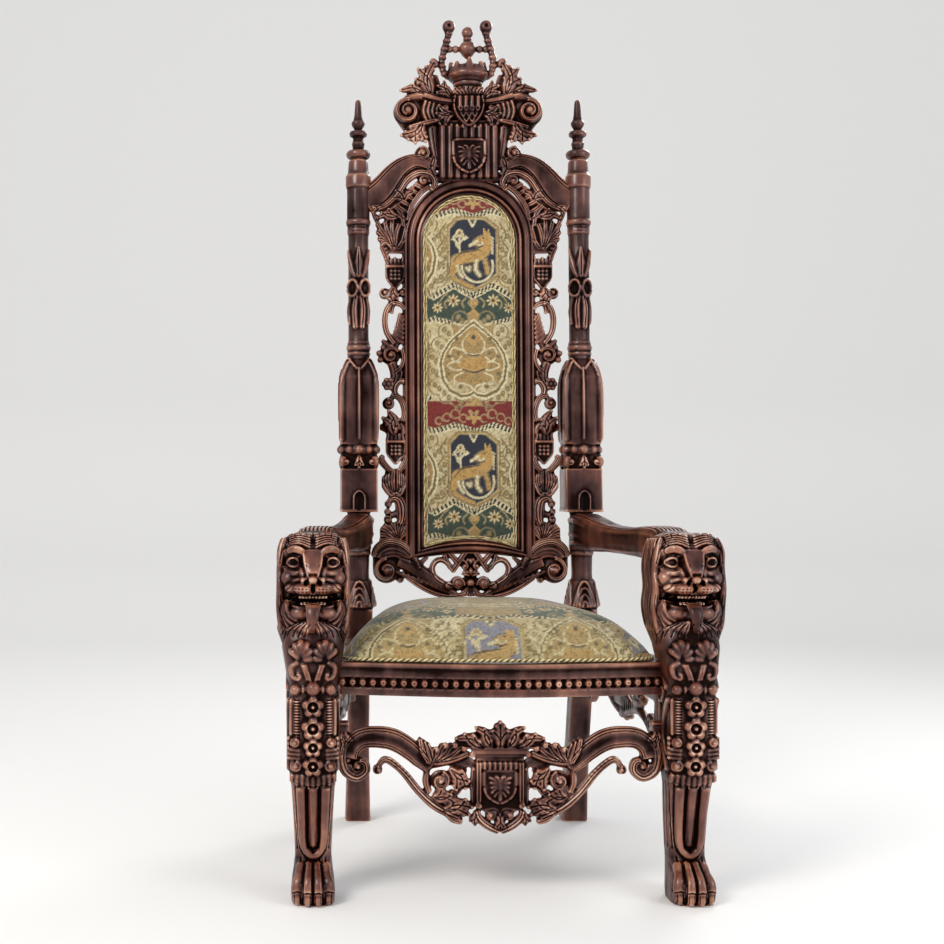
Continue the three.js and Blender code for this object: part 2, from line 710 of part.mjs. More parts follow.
// ---------------------------------------------------------------- lower rail of the back
function lowerRail() {
  const half = [
    volute(193, 600, 35, { depth: 18, sides: 9 }),
    vine([[222, 640], [186, 662], [150, 650], [118, 616]], [9, 12, 11, 8], { y: -3, depth: 13, steps: 3 }),
    vine([[206, 640], [164, 614], [118, 580], [66, 552], [0, 545]], [16, 18, 15, 12, 12], {
      depth: 15,
      steps: 5,
    }),
    leaf([112, 590], [[156, 600], [150, 630], [120, 644]], 16, { depth: 12, notch: 0.8 }),
    volute(31, 565, 15, { depth: 16, sides: 7 }),
    vine([[64, 560], [86, 588], [76, 620], [50, 646]], [7, 7, 7, 7], { steps: 3 }),
    vine([[56, 636], [26, 604], [0, 612]], [6, 7, 6], { steps: 2 }),
  ];
  const middle = [
    volute(0, 610, 14, { depth: 10, sides: 7 }),
    leaf([0, 556], [[-14, 536], [0, 533], [14, 536]], 12, { depth: 16, notch: 0.8 }),
    vine([[0, 640], [0, 556]], [7, 7], { steps: 1 }),
  ];
  return join([...bothSides(half), middle].flat(Infinity).map(lean));
}
const lowerRailSolid = lowerRail().subtract(frameSolid).subtract(bothPosts);
add("lower_back_rail", lowerRailSolid, mahogany);

// ---------------------------------------------------------------- crest
// Moulded shoulders rise from the posts to a fluted block with a shield, between two great scrolls with
// leaves all round them, and a crown stands on top.
function crownOfCrest() {
  const points = [-1, -0.5, 0, 0.5, 1].map((k) => [48 * k, 1780 - 8 * Math.abs(k)]);
  return [
    turned(0, 0, [[26, 1710], [30, 1722], [30, 1736], [44, 1756], [20, 1758]], 8),
    leaf([0, 1738], points, 30, { depth: 24, rear: 20, notch: 0.75 }),
    vine([[-58, 1811], [58, 1811]], [8, 8], { depth: 8, rear: 8, steps: 1 }),
    turned(0, 0, [[9, 1794], [19, 1806], [17, 1822], [7, 1831], [13, 1841], [13, 1855], [5, 1862]], 7),
    ...bothSides(
      vine([[42, 1744], [58, 1764], [57, 1796], [50, 1820], [44, 1860]], [8, 9, 8, 9, 7], {
        depth: 8,
        rear: 8,
        steps: 4,
      }),
      ball([43, 0, 1865], [16, 16, 16.4], 7, 5),
    ),
  ];
}

// The ground of one side of the carving, with leaf tips all round it.
const crestGround = () =>
  plate(
    scalloped([
      [0, 1636], [66, 1600], [96, 1598, 1, 10], [128, 1596, 2, 10], [168, 1640], [170, 1688, 1, 12],
      [146, 1716, 2, 16], [94, 1742, 1, 26], [72, 1738, 1, 8], [40, 1726], [0, 1730],
    ]),
    -10,
    13,
  );

function crestSide() {
  return [
    crestGround(),
    vine([[242, 1446], [200, 1478], [160, 1526], [122, 1543], [84, 1532]], [35, 34, 28, 19, 15], {
      depth: 14,
      rear: 14,
      steps: 5,
    }),
    volute(105, 1505, 19, { depth: 14, sides: 7 }),
    vine([[206, 1436], [172, 1448], [146, 1488], [104, 1500]], [6, 9, 9, 7], { steps: 3 }),
    volute(142, 1663, 36, { y: -4, depth: 24, sides: 9 }),
    vine([[34, 1680], [88, 1696], [150, 1694]], [20, 18, 6], { y: -4, depth: 16, steps: 3 }),
    vine([[34, 1638], [84, 1628], [134, 1632]], [8, 14, 6], { y: -4, depth: 12, steps: 2 }),
    volute(108, 1568, 18, { depth: 12, sides: 7 }),
    vine([[80, 1626], [90, 1600], [112, 1560]], [12, 10, 8], { depth: 9, steps: 2 }),
  ];
}

function crestMiddle() {
  const flutes = [-57, -38, -19, 0, 19, 38, 57].map((x) =>
    vine([[x, 1634], [x, 1494]], [9.4, 9.4], { y: -14, depth: 10, steps: 1 }),
  );
  return [
    box(-67, 67, -16, 14, 1500, 1636),
    flutes,
    shield(0, 1592, 38, 76, -26, 5),
    ball([0, -14, 1672], [33, 22, 45], 8, 5),
  ];
}

const crest = join([...bothSides(crestSide()), crestMiddle(), crownOfCrest()].flat(Infinity).map(lean));
const crestSolid = crest.subtract(bothPosts).subtract(frameSolid);
add("crest", crestSolid, mahogany);

onEachSide(
  "side_scroll",
  sideScroll().subtract(frameSolid).subtract(postSolid).subtract(crestSolid).subtract(lowerRailSolid),
);

// ---------------------------------------------------------------- aprons under the seat
const APRON_Y = -268; // middle of the front apron's thickness
function frontApron() {
  const half = [
    volute(278, 249, 32, { depth: 15, sides: 9 }),
    vine([[322, 304], [290, 306], [256, 298], [222, 306], [180, 290], [128, 262]], [14, 15, 20, 20, 22, 18], {
      depth: 14,
      steps: 5,
    }),
    vine([[296, 278], [262, 286]], [16, 14], { depth: 10, steps: 1 }),
    vine([[226, 238], [188, 236], [152, 204], [116, 172], [74, 150], [30, 148]], [9, 8, 8, 9, 12, 12], {
      depth: 13,
      steps: 5,
    }),
    vine([[176, 262], [160, 204]], [14, 9], { steps: 1, depth: 9 }),
    leaf([140, 240], [[140, 292], [112, 286], [86, 300]], 18, { depth: 14, notch: 0.85 }),
    volute(116, 222, 20, { depth: 14, sides: 8 }),
    leaf([104, 168], [[112, 206], [60, 244], [40, 220], [40, 180]], 18, { depth: 12, notch: 0.8 }),
  ];
  const middle = [
    leaf([0, 276], [[85, 300], [56, 300], [34, 322], [0, 343], [-34, 322], [-56, 300], [-85, 300]], 46, {
      depth: 16,
      notch: 0.78,
    }),
    box(-50, 50, -17, 12, 265, 281),
    shield(0, 268, 47, 100, -8, 6),
    leaf([0, 164], [[-84, 142], [-60, 126], [-30, 130], [0, 122], [30, 130], [60, 126], [84, 142]], 26, {
      depth: 14,
      notch: 0.85,
    }),
  ];
  return join([...bothSides(half), middle].flat(Infinity).map((piece) => piece.translate(0, APRON_Y, 0)));
}
add("front_apron", frontApron().subtract(bothLegs), mahogany);

// The side apron hangs from the side rail: modelled square to the chair, then swung in line with the rail.
const SIDE_SWING = Math.atan2(POST_X + 13 - 317, 190 + 232);
function sideApron() {
  const drop = RAIL_BOTTOM - GAP;
  const outline = [
    [-234, drop],
    [-234, 300],
    [-196, 296],
    [-150, 326],
    [-80, 322],
    [-20, 306],
    [40, 322],
    [110, 340],
    [160, 322],
    [200, 300],
    [200, drop],
  ];
  const holes = [
    [[-150, 340], [-80, 346], [-80, 366], [-150, 362]],
    [[60, 350], [120, 352], [120, 368], [60, 366]],
  ];
  const pieces = [
    plate(outline, -9, 9, holes),
    volute(-192, 320, 22, { depth: 12, sides: 7 }),
    volute(170, 322, 20, { depth: 12, sides: 7 }),
    leaf([-20, 352], [[-74, 330], [-50, 306], [-20, 296], [10, 306], [34, 330]], 26, {
      depth: 15,
      notch: 0.8,
    }),
  ];
  return pieces.flat(Infinity).map((piece) => {
    piece.rotateZ(Math.PI / 2).rotateZ(-SIDE_SWING);
    return piece.translate(291, 0, 0);
  });
}
onEachSide(
  "side_apron",
  join(sideApron()).subtract(legSolid).subtract(postSolid).subtract(join(sideRail())),
);

export default throne;
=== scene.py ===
import math
import bmesh
import bpy
import numpy as np
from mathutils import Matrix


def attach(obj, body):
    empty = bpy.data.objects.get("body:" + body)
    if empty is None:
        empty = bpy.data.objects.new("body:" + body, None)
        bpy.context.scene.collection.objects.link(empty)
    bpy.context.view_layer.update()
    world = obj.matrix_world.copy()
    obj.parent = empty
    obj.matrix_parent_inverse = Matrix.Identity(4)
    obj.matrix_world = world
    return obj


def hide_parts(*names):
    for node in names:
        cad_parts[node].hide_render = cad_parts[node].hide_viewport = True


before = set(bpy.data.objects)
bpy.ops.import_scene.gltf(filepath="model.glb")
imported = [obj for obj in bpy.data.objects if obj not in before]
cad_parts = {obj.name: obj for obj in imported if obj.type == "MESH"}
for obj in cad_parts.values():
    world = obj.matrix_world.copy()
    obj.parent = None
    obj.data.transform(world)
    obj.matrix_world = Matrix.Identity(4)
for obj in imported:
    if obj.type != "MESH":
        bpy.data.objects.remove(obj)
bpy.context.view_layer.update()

mm = 0.001

# The throne's main lines, in millimetres. The back slopes away above leanFrom.
throne = {"backY": 222, "lean": 56 / 1200, "leanFrom": 500, "archZ": 1358, "railBottom": 386, "apronY": -268}


def backAt(z):
    return throne["backY"] + throne["lean"] * (z - throne["leanFrom"])


def handed(hand, line):
    # the same line on the right (1) or the left (-1) of the middle
    return [(hand * x, *rest) for x, *rest in line]


def unit(vectors):
    return vectors / np.maximum(np.linalg.norm(vectors, axis=1), 1e-9)[:, None]


def radially(points):
    # away from the upright line through x = 0 and y = 0
    return points * (1, 1, 0)


# A form is its points in millimetres and its faces.
def formOf(shape):
    # what a bmesh holds, which is then let go
    shape.verts.index_update()
    points = np.array([v.co[:] for v in shape.verts])
    faces = [[v.index for v in f.verts] for f in shape.faces]
    shape.free()
    return points, faces


def vertsOf(geometry):
    return [v for v in geometry if isinstance(v, bmesh.types.BMVert)]


def smooth(mesh):
    mesh.polygons.foreach_set("use_smooth", np.ones(len(mesh.polygons), bool))
    mesh.calc_loop_triangles()
    print(f"{mesh.name}: {len(mesh.loop_triangles)} triangles")


ballForms = {}


def ballForm(across, along):
    # every rounded form starts from one of these balls
    if (across, along) not in ballForms:
        shape = bmesh.new()
        bmesh.ops.create_uvsphere(shape, u_segments=across, v_segments=along, radius=1)
        ballForms[across, along] = formOf(shape)
    return ballForms[across, along]


def flow(line, share):
    # points of a smooth line through the given ones, by share of its length
    knots = np.array([(*p, 0)[:3] for p in line], float)
    if len(knots) > 2:
        ends = np.vstack([2 * knots[0] - knots[1], knots, 2 * knots[-1] - knots[-2]])
        t = np.linspace(0, 1, 9)[:-1, None]
        a, b, c, d = (ends[i:len(ends) - 3 + i, None] for i in range(4))
        bends = 2 * b + (c - a) * t + (2 * a - 5 * b + 4 * c - d) * t ** 2 + (3 * b - a - 3 * c + d) * t ** 3
        knots = np.vstack([0.5 * bends.reshape(-1, 3), knots[-1]])
    reach = np.concatenate([[0], np.cumsum(np.linalg.norm(np.diff(knots, axis=0), axis=1) + 1e-9)])
    return np.stack([np.interp(np.asarray(share) * reach[-1], reach, knots[:, k]) for k in range(3)], -1)


def spread(values, share):
    values = np.atleast_1d(values).astype(float)
    if len(values) == 1:
        return values[0] + 0 * share
    return np.interp(share, np.linspace(0, 1, len(values)), values)


def drawn(line, out, widths, height, rear=7, ridge=1.0, square=1.0, along=16, across=10):
    # a ball drawn out along a line of [x, y, z]: it is as wide as widths says, rises by height towards
    # out, and goes down by rear. Less ridge flattens its back, and less square makes its sides steeper.
    points, faces = ballForm(across, along)
    share = np.arccos(np.clip(points[:, 2], -1, 1)) / math.pi
    rim = np.maximum(np.hypot(points[:, 0], points[:, 1]), 1e-9)
    side, front = points[:, 0] / rim, points[:, 1] / rim
    side[rim < 1e-6] = front[rim < 1e-6] = 0
    centre = flow(line, share)
    ahead = unit(flow(line, np.minimum(share + 0.02, 1)) - flow(line, np.maximum(share - 0.02, 0)))
    up = out(centre) if callable(out) else np.broadcast_to(np.array(out, float), centre.shape)
    up = unit(up - (up * ahead).sum(1)[:, None] * ahead)
    half = spread(widths, share) * np.sign(side) * np.abs(side) ** square
    lift = np.where(front > 0, np.abs(front) ** ridge * spread(height, share), front * spread(rear, share))
    add((centre + np.cross(ahead, up) * half[:, None] + up * lift[:, None], faces))


def stroke(line, widths, height, rear=7, y=0, **more):
    # the same along a line of [x, z, forward] that faces the front
    path = [(x, y - (ahead[0] if ahead else 0), z) for x, z, *ahead in line]
    drawn(path, (0, -1, 0), widths, height, rear, **more)


def ball(x, y, z, radii, across=12, along=8):
    points, faces = ballForm(across, along)
    add((points * np.broadcast_to(radii, 3) + (x, y, z), faces))


def slab(outline, front, rear):
    # a plate with an outline of [x, z] points
    shape = bmesh.new()
    face = shape.faces.new([shape.verts.new((x, front, z)) for x, z in outline])
    made = bmesh.ops.extrude_face_region(shape, geom=[face])
    bmesh.ops.translate(shape, vec=(0, rear - front, 0), verts=vertsOf(made["geom"]))
    bmesh.ops.triangulate(shape, faces=shape.faces[:])
    add(formOf(shape))


def block(low, high):
    shape = bmesh.new()
    bmesh.ops.create_cube(shape, size=1)
    points, faces = formOf(shape)
    low, high = np.array(low, float), np.array(high, float)
    add(((low + high) / 2 + points * (high - low), faces))


def turned(profile, sides):
    # a form turned about the upright line: the profile is [radius, z] from the bottom up
    shape = bmesh.new()
    verts = [shape.verts.new((r, 0, z)) for r, z in profile]
    edges = [shape.edges.new(pair) for pair in zip(verts, verts[1:])]
    bmesh.ops.spin(shape, geom=verts + edges, axis=(0, 0, 1), cent=(0, 0, 0), steps=sides, angle=math.tau,
        use_merge=True)
    bmesh.ops.remove_doubles(shape, verts=shape.verts[:], dist=0.001)
    bmesh.ops.recalc_face_normals(shape, faces=shape.faces[:])
    return formOf(shape)


def lathe(profile, sides=48):
    add(turned(profile, sides))


def spiral(x, z, big, small, start, turns, count=26):
    t = np.linspace(0, 1, count)
    angle = np.radians(start + 360 * turns * t)
    radius = big + (small - big) * t ** 0.8
    return np.stack([x + radius * np.cos(angle), z + radius * np.sin(angle)], -1)


# The piece in hand: forms and cuts are added to the bench, and taken() clears it for the next.
bench = {"forms": [], "cuts": []}


def taken():
    work = dict(bench)
    bench.update(forms=[], cuts=[])
    return work


def add(form):
    bench["forms"].append(form)


def groove(line, width=1.8, depth=2.2, first=0.0, last=1.0, count=14, view="front"):
    bench["cuts"].append((flow(line, np.linspace(first, last, count))[:, :2], width, depth, view))


def dent(x, z, width, depth, view="front", way=(0.4, 0)):
    bench["cuts"].append((np.array([(x, z), (x + way[0], z + way[1])]), width, depth, view))


def lobe(line, widths, height, vein=0.0, **more):
    stroke(line, widths, height, **more)
    if vein:
        groove(line, 1.7, vein, 0.12, 0.93)


def leaf(root, tips, half, height, y=0, frill=2):
    # an acanthus leaf: a web near the root, and a lobe to each tip with leaflets and a curled end
    root = np.array(root, float)
    ends = np.array([t[:2] for t in tips], float)
    middle = ends.mean(0) - root
    fan = max(half * 0.8, 0.34 * np.abs(np.diff(ends, axis=0)).sum() if len(ends) > 1 else 0)
    stroke([root, root + 0.4 * middle, root + 0.8 * middle], [half * 0.8, fan * 1.12, fan * 1.05],
        height * 0.55, 6, y, along=10)
    for tip in ends:
        way = tip - root
        turn = np.sign(way[0] * middle[1] - way[1] * middle[0]) if len(tips) > 1 else 1
        normal = np.array([-way[1], way[0]]) * turn
        line = [(*root, 0), (*(root + 0.5 * way + 0.16 * normal), 3), (*tip, 3)]
        lobe(line, [0.6 * half, 1.2 * half, 1.2 * half, 0.6 * half],
            [0.7 * height, height, height, 0.8 * height], 2.4, y=y, ridge=0.7, rear=6)
        ball(tip[0], y - height * 0.5 - 3, tip[1], (half * 0.5, height * 0.5, half * 0.5), 10, 8)
        for k in range(frill):
            share = 0.45 + 0.3 * k / max(1, frill - 1)
            foot, ahead = flow(line, [share, share + 0.05])
            along = (ahead - foot)[:2] / max(1e-6, np.hypot(*(ahead - foot)[:2]))
            for hand in (-1, 1):
                out = 0.7 * along + hand * 0.85 * np.array([-along[1], along[0]])
                reach = half * (1.55 - 0.3 * k)
                stroke([foot, (*(foot[:2] + out * reach), 3)], [half * 0.7, half * 0.8, half * 0.42],
                    0.9 * height, 6, y, along=8, across=8)


def scroll(x, z, radius, start, turns=1.4, height=14, y=0, band=0.17, rear=8, base=0.45):
    # a band that winds inwards to a round eye, over a sunk ground
    line = spiral(x, z, radius * (1 - band), radius * 0.24, start, turns)
    width = radius * band
    stroke(line, [width, width, width * 0.8, width * 0.6], [height * 0.8, height, height * 1.05], y=y,
        ridge=0.7, along=48, rear=rear)
    ball(x, y - height * 0.55, z, (radius * 0.27, height * 0.75, radius * 0.27))
    ball(x, y + 1, z, (radius * 0.93, height * base, radius * 0.93), 20, 10)
    if radius > 18:
        groove(line, 1.3, 1.5, 0.02, 0.8)


def outlineOfShield(x, top, half, height):
    side = [(half, 0), (half, -0.5), (0.86 * half, -0.72), (0.55 * half, -0.88), (0, -1)]
    points = [(x + sx, top + sz * height) for sx, sz in side]
    return points + [(2 * x - px, pz) for px, pz in reversed(points[:-1])]


def eagle(x, z, half, y):
    # a generic double-headed bird, as on many old arms
    ball(x, y - 1, z, (half * 0.2, 4.5, half * 0.42))
    for hand in (-1, 1):
        stroke([(x, z + half * 0.2), (x + hand * half * 0.16, z + half * 0.52),
            (x + hand * half * 0.36, z + half * 0.56)], [half * 0.11, half * 0.09, half * 0.05], 5, y=y,
            along=10, rear=2)
        for k in range(4):
            tip = (x + hand * half * (0.72 - 0.06 * k), z + half * (0.5 - 0.34 * k))
            stroke([(x + hand * half * 0.1, z + half * (0.12 - 0.06 * k)),
                (x + hand * half * 0.42, z + half * (0.42 - 0.24 * k)), tip],
                [half * 0.1, half * 0.1, half * 0.05], 4.6, y=y, along=8, across=8, rear=2)
        stroke([(x + hand * half * 0.08, z - half * 0.3), (x + hand * half * 0.4, z - half * 0.72)],
            [half * 0.09, half * 0.07, half * 0.05], 4.4, y=y, along=8, across=8, rear=2)
    stroke([(x, z - half * 0.3), (x, z - half * 0.98)], [half * 0.08, half * 0.16, half * 0.12], 4.4, y=y,
        along=8, rear=2)


def shield(x, top, half, height, y, rim, deep):
    outline = outlineOfShield(x, top, half, height)
    slab(outline, y, y + deep)
    closed = outline + [outline[0]]
    for a, b in zip(closed, closed[1:]):
        stroke([a, b], [rim * 0.62] * 3, rim, y=y + 1, along=8, across=8, rear=2)
    eagle(x, top - height * 0.45, half, y)


views = {  # the two axes that a cut line is drawn in, and the side that it is cut from
    "front": ((0, 2), (0, -1, 0)), "right": ((1, 2), (1, 0, 0)),
    "left": ((1, 2), (-1, 0, 0)), "top": ((0, 1), (0, 0, 1)),
}


def flipped(work):
    # the carving as seen in a mirror
    other = {"right": "left", "left": "right"}
    forms = [(points * (-1, 1, 1), [face[::-1] for face in faces]) for points, faces in work["forms"]]
    cuts = [(line * ((1, 1) if view in other else (-1, 1)), width, depth, other.get(view, view))
            for line, width, depth, view in work["cuts"]]
    return {"forms": forms, "cuts": cuts}


def bothHands(work):
    return together(work, flipped(work))


def shifted(work, x):
    forms = [(points + (x, 0, 0), faces) for points, faces in work["forms"]]
    cuts = [(line + ((0, 0) if view in ("left", "right") else (x, 0)), width, depth, view)
            for line, width, depth, view in work["cuts"]]
    return {"forms": forms, "cuts": cuts}


def together(*works):
    return {key: [one for work in works for one in work[key]] for key in ("forms", "cuts")}


# From forms to finished meshes.
def meshOf(name, forms):
    points, faces, first = [], [], 0
    for formPoints, formFaces in forms:
        points.append(formPoints)
        faces += [[i + first for i in face] for face in formFaces]
        first += len(formPoints)
    mesh = bpy.data.meshes.new(name)
    mesh.from_pydata((np.concatenate(points) * mm).tolist(), [], faces)
    return mesh


def place(name, mesh, material, *nodes, slot="mahogany"):
    piece = bpy.data.objects.new(name, mesh)
    bpy.context.scene.collection.objects.link(piece)
    mesh.materials.clear()
    mesh.materials.append(material)
    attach(piece, "root")
    if nodes:
        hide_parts(*nodes)
    return piece


def applied(name, mesh, *changes):
    # the mesh with modifiers applied: each is its kind and its settings
    held = bpy.data.objects.new(name, mesh)
    bpy.context.scene.collection.objects.link(held)
    for kind, settings in changes:
        modifier = held.modifiers.new(kind.title(), kind)
        for key, value in settings.items():
            setattr(modifier, key, value)
    made = bpy.data.meshes.new_from_object(held.evaluated_get(bpy.context.evaluated_depsgraph_get()))
    bpy.data.objects.remove(held)
    bpy.data.meshes.remove(mesh)
    made.name = name
    return made


def arrays(mesh):
    points = np.empty(len(mesh.vertices) * 3)
    mesh.vertices.foreach_get("co", points)
    edges = np.empty(len(mesh.edges) * 2, int)
    mesh.edges.foreach_get("vertices", edges)
    return points.reshape(-1, 3) / mm, edges.reshape(-1, 2)


def normalsOf(mesh):
    normals = np.empty(len(mesh.vertices) * 3)
    mesh.vertices.foreach_get("normal", normals)
    return normals.reshape(-1, 3)


def relaxed(points, edges, rounds, share=0.5):
    a, b = edges.T
    size = len(points)
    count = np.bincount(a, minlength=size) + np.bincount(b, minlength=size)
    for _ in range(rounds):
        total = np.stack([np.bincount(a, points[b, k], size) + np.bincount(b, points[a, k], size)
            for k in range(3)], -1)
        points = points + share * (total / np.maximum(count, 1)[:, None] - points)
    return points


def moved(mesh, points):
    mesh.vertices.foreach_set("co", (points * mm).ravel())
    mesh.update()


def store(mesh, name, values):
    mesh.attributes.new(name, "FLOAT", "POINT").data.foreach_set("value", np.asarray(values, np.float32))


def gapTo(flat, line):
    # the distance of every flat point to a line of straight runs
    way = np.diff(line, axis=0)
    off = flat[:, None] - line[:-1]
    t = np.clip((off * way).sum(2) / np.maximum((way ** 2).sum(1), 1e-9), 0, 1)
    return np.linalg.norm(off - t[..., None] * way, axis=2).min(1)


def grooved(points, normals, cuts):
    # sinks the surface along each cut line, where it faces the carver; a depth below zero raises it
    sunk, raised = np.zeros(len(points)), np.zeros((len(points), 3))
    for view, (plane, look) in views.items():
        facing = np.clip(normals @ np.array(look, float) * 1.6, 0, 1)
        flat = points[:, plane]
        for line, width, depth, cutView in cuts:
            if cutView != view:
                continue
            reach = 2.6 * width
            low, high = line.min(0) - reach, line.max(0) + reach
            near = np.nonzero(((flat > low) & (flat < high)).all(1) & (facing > 0))[0]
            if not len(near):
                continue
            gap = gapTo(flat[near], line)
            if depth > 0:
                sunk[near] = np.maximum(sunk[near], depth * facing[near] * np.exp(-(gap / width) ** 2))
            else:
                raised[near] += np.outer(-depth * np.exp(-(gap / width) ** 2), look)
    return points - normals * sunk[:, None] + raised


def storeWearAndPaintedLight(mesh):
    # how far each point stands above its close and its wide surroundings: high points are painted paler, for
    # polish wear and a painted highlight, and low ones darker as painted shade
    points, edges = arrays(mesh)
    normals = normalsOf(mesh)
    near = relaxed(points, edges, 2)
    wide = relaxed(near, edges, 24)
    store(mesh, "edge", ((points - near) * normals).sum(1))
    store(mesh, "rise", ((points - wide) * normals).sum(1))


def carved(name, work, voxel, soften=2, leaning=True, keep=0.4):
    # fuses the forms into one skin, cuts the grooves, measures the heights that set the wear, the painted
    # shade and the painted highlight, and thins what is flat
    mesh = applied(name, meshOf(name, work["forms"]), ("REMESH", {"mode": "VOXEL", "voxel_size": voxel * mm}))
    points, edges = arrays(mesh)
    moved(mesh, relaxed(points, edges, soften))
    points, edges = arrays(mesh)
    moved(mesh, relaxed(grooved(points, normalsOf(mesh), work["cuts"]), edges, 1, 0.25))
    storeWearAndPaintedLight(mesh)
    if leaning:
        points, _ = arrays(mesh)
        points[:, 1] += backAt(points[:, 2])
        moved(mesh, points)
    mesh = applied(name, mesh, ("DECIMATE", {"ratio": keep}))
    smooth(mesh)
    return mesh


def placePair(piece, mesh, node):
    # the right one, and its mirror image on the left
    other = mesh.copy()
    other.name = f"{piece}_left"
    points, _ = arrays(other)
    moved(other, points * (-1, 1, 1))
    other.flip_normals()
    place(f"{piece}_right", mesh, mahoganyWood, f"{node}_right")
    place(f"{piece}_left", other, mahoganyWood, f"{node}_left")


# Materials.
def linear(code):
    parts = [int(code[i:i + 2], 16) / 255 for i in (1, 3, 5)]
    return (*[c / 12.92 if c <= 0.04045 else ((c + 0.055) / 1.055) ** 2.4 for c in parts], 1)


def addNode(tree, kind, links=(), **settings):
    # links lead an output to each input; settings are attributes, or an input's value as i and its number
    node = tree.nodes.new("ShaderNode" + kind)
    for key, value in settings.items():
        if key[0] == "i" and key[1:].isdigit():
            node.inputs[int(key[1:])].default_value = value
        else:
            setattr(node, key, value)
    for socket, source in dict(links).items():
        tree.links.new(source, node.inputs[socket])
    return node


def newMaterial(name):
    material = bpy.data.materials.new(name)
    material.use_nodes = True
    tree = material.node_tree
    return material, tree, tree.nodes["Principled BSDF"]


def ramp(tree, source, stops):
    # stops are [place, colour], with a grey as a plain number
    node = addNode(tree, "ValToRGB", {0: source})
    while len(node.color_ramp.elements) < len(stops):
        node.color_ramp.elements.new(0.5)
    for element, (spot, colour) in zip(node.color_ramp.elements, stops):
        element.position = spot
        element.color = linear(colour) if isinstance(colour, str) else (colour, colour, colour, 1)
    return node.outputs["Color"]


# Stained mahogany, French polished: the hollows are painted near-black as painted shade and lie dull, the
# flats are red-brown and glossy, and the high carving is rubbed to a paler wood, its sharpest edges painted
# paler still as a painted highlight.
# the two darkest colours are painted shade for the recesses, rubbed is wear, and the two palest are rubbed
# wear with a painted highlight
wood = {
    "hollowShade": "#090302", "deep": "#1c0a06", "flat": "#38150d",
    "rubbed": "#622b18", "pale": "#a86f53", "bare": "#d8ae94",
    "grainMm": 1.3, "figureMm": 46, "patchMm": 70, "toolMm": 5.5, "roughness": 0.27,
}


def mahogany(name, look):
    material, tree, shader = newMaterial(name)
    spot = addNode(tree, "TexCoord").outputs["Object"]
    along = addNode(tree, "Mapping", {0: spot}, i3=(1, 1, 0.12)).outputs[0]
    grain = addNode(tree, "TexNoise", {0: along}, i2=1000 / look["grainMm"] / 6.28, i3=4.0, i4=0.6).outputs[0]
    figure = addNode(tree, "TexNoise", {0: along}, i2=1000 / look["figureMm"], i3=3.0).outputs[0]
    patch = addNode(tree, "TexNoise", {0: spot}, i2=1000 / look["patchMm"], i3=3.0).outputs[0]
    rise, edge, toneAndPaintedLight = (addNode(tree, "Attribute", attribute_name=key).outputs["Fac"]
        for key in ("rise", "edge", "toneAndPaintedLight"))
    # height of the carving, from 0 in the hollows to 1 on the ridges, with the wood's own figure and blotches
    level = addNode(tree, "Math", {0: rise}, operation="MULTIPLY_ADD", i1=0.10, i2=0.5).outputs[0]
    level = addNode(tree, "Math", {0: edge, 2: level}, operation="MULTIPLY_ADD", i1=0.85).outputs[0]
    level = addNode(tree, "Math", {0: level, 1: toneAndPaintedLight}, operation="ADD").outputs[0]
    for source, most in ((figure, 0.55), (patch, 0.5)):
        shift = addNode(tree, "Math", {0: source}, operation="MULTIPLY_ADD", i1=most, i2=-most / 2).outputs[0]
        level = addNode(tree, "Math", {0: level, 1: shift}, operation="ADD").outputs[0]
    # low levels get painted shade, middle levels the wood's own red-brown and rubbed wear, and the highest a
    # painted highlight
    colour = ramp(tree, level, [(0.20, look["hollowShade"]), (0.38, look["deep"]), (0.52, look["flat"]),
        (0.68, look["rubbed"]), (0.88, look["pale"]), (1.0, look["bare"])])
    streak = ramp(tree, grain, [(0.35, 0.62), (0.62, 1.0)])
    mixed = addNode(tree, "Mix", {6: colour, 7: streak}, data_type="RGBA", blend_type="MULTIPLY", i0=0.55)
    tree.links.new(mixed.outputs[2], shader.inputs["Base Color"])
    rough = addNode(tree, "MapRange", {0: level}, i1=0.25, i2=0.85, i3=0.58, i4=look["roughness"]).outputs[0]
    tree.links.new(rough, shader.inputs["Roughness"])
    # the hollows hold dull wax and the ridges are polished
    for socket, most in (("Specular IOR Level", 0.55), ("Coat Weight", 0.4)):
        shine = addNode(tree, "MapRange", {0: level}, i1=0.38, i2=0.66, i3=0.06 * most, i4=most).outputs[0]
        tree.links.new(shine, shader.inputs[socket])
    shader.inputs["Coat Roughness"].default_value = 0.16
    tools = addNode(tree, "TexNoise", {0: spot}, i2=1000 / look["toolMm"], i3=2.0).outputs[0]
    pores = addNode(tree, "Bump", {"Height": grain}, i0=0.25, i1=0.0004).outputs[0]
    facets = addNode(tree, "Bump", {"Height": tools, "Normal": pores}, i0=0.35, i1=0.0012).outputs[0]
    tree.links.new(facets, shader.inputs["Normal"])
    return material


mahoganyWood = mahogany("stained_mahogany", wood)
print("wood ready")


def band(line, widths, height, lines=(), **more):
    # a flat moulded member, with thin grooves run along it at these shares of its half width
    stroke(line, widths, height, ridge=0.45, **{"along": 24, **more})
    share = np.linspace(0.04, 0.96, 24)
    centre, half = flow(line, share)[:, :2], spread(widths, share)
    ahead = unit(np.gradient(centre, axis=0))
    beside = np.stack([-ahead[:, 1], ahead[:, 0]], -1)
    for across in lines:
        bench["cuts"].append((centre + (half * across)[:, None] * beside, 1.3, 2.2, "front"))


# Crest.
crest = {
    "fluteCount": 8, "flutePitch": 17.2, "fluteTop": 1634, "fluteFoot": 1497,
    "scroll": (141, 1661, 37), "crownZ": 1757, "ballR": 15.4,
}


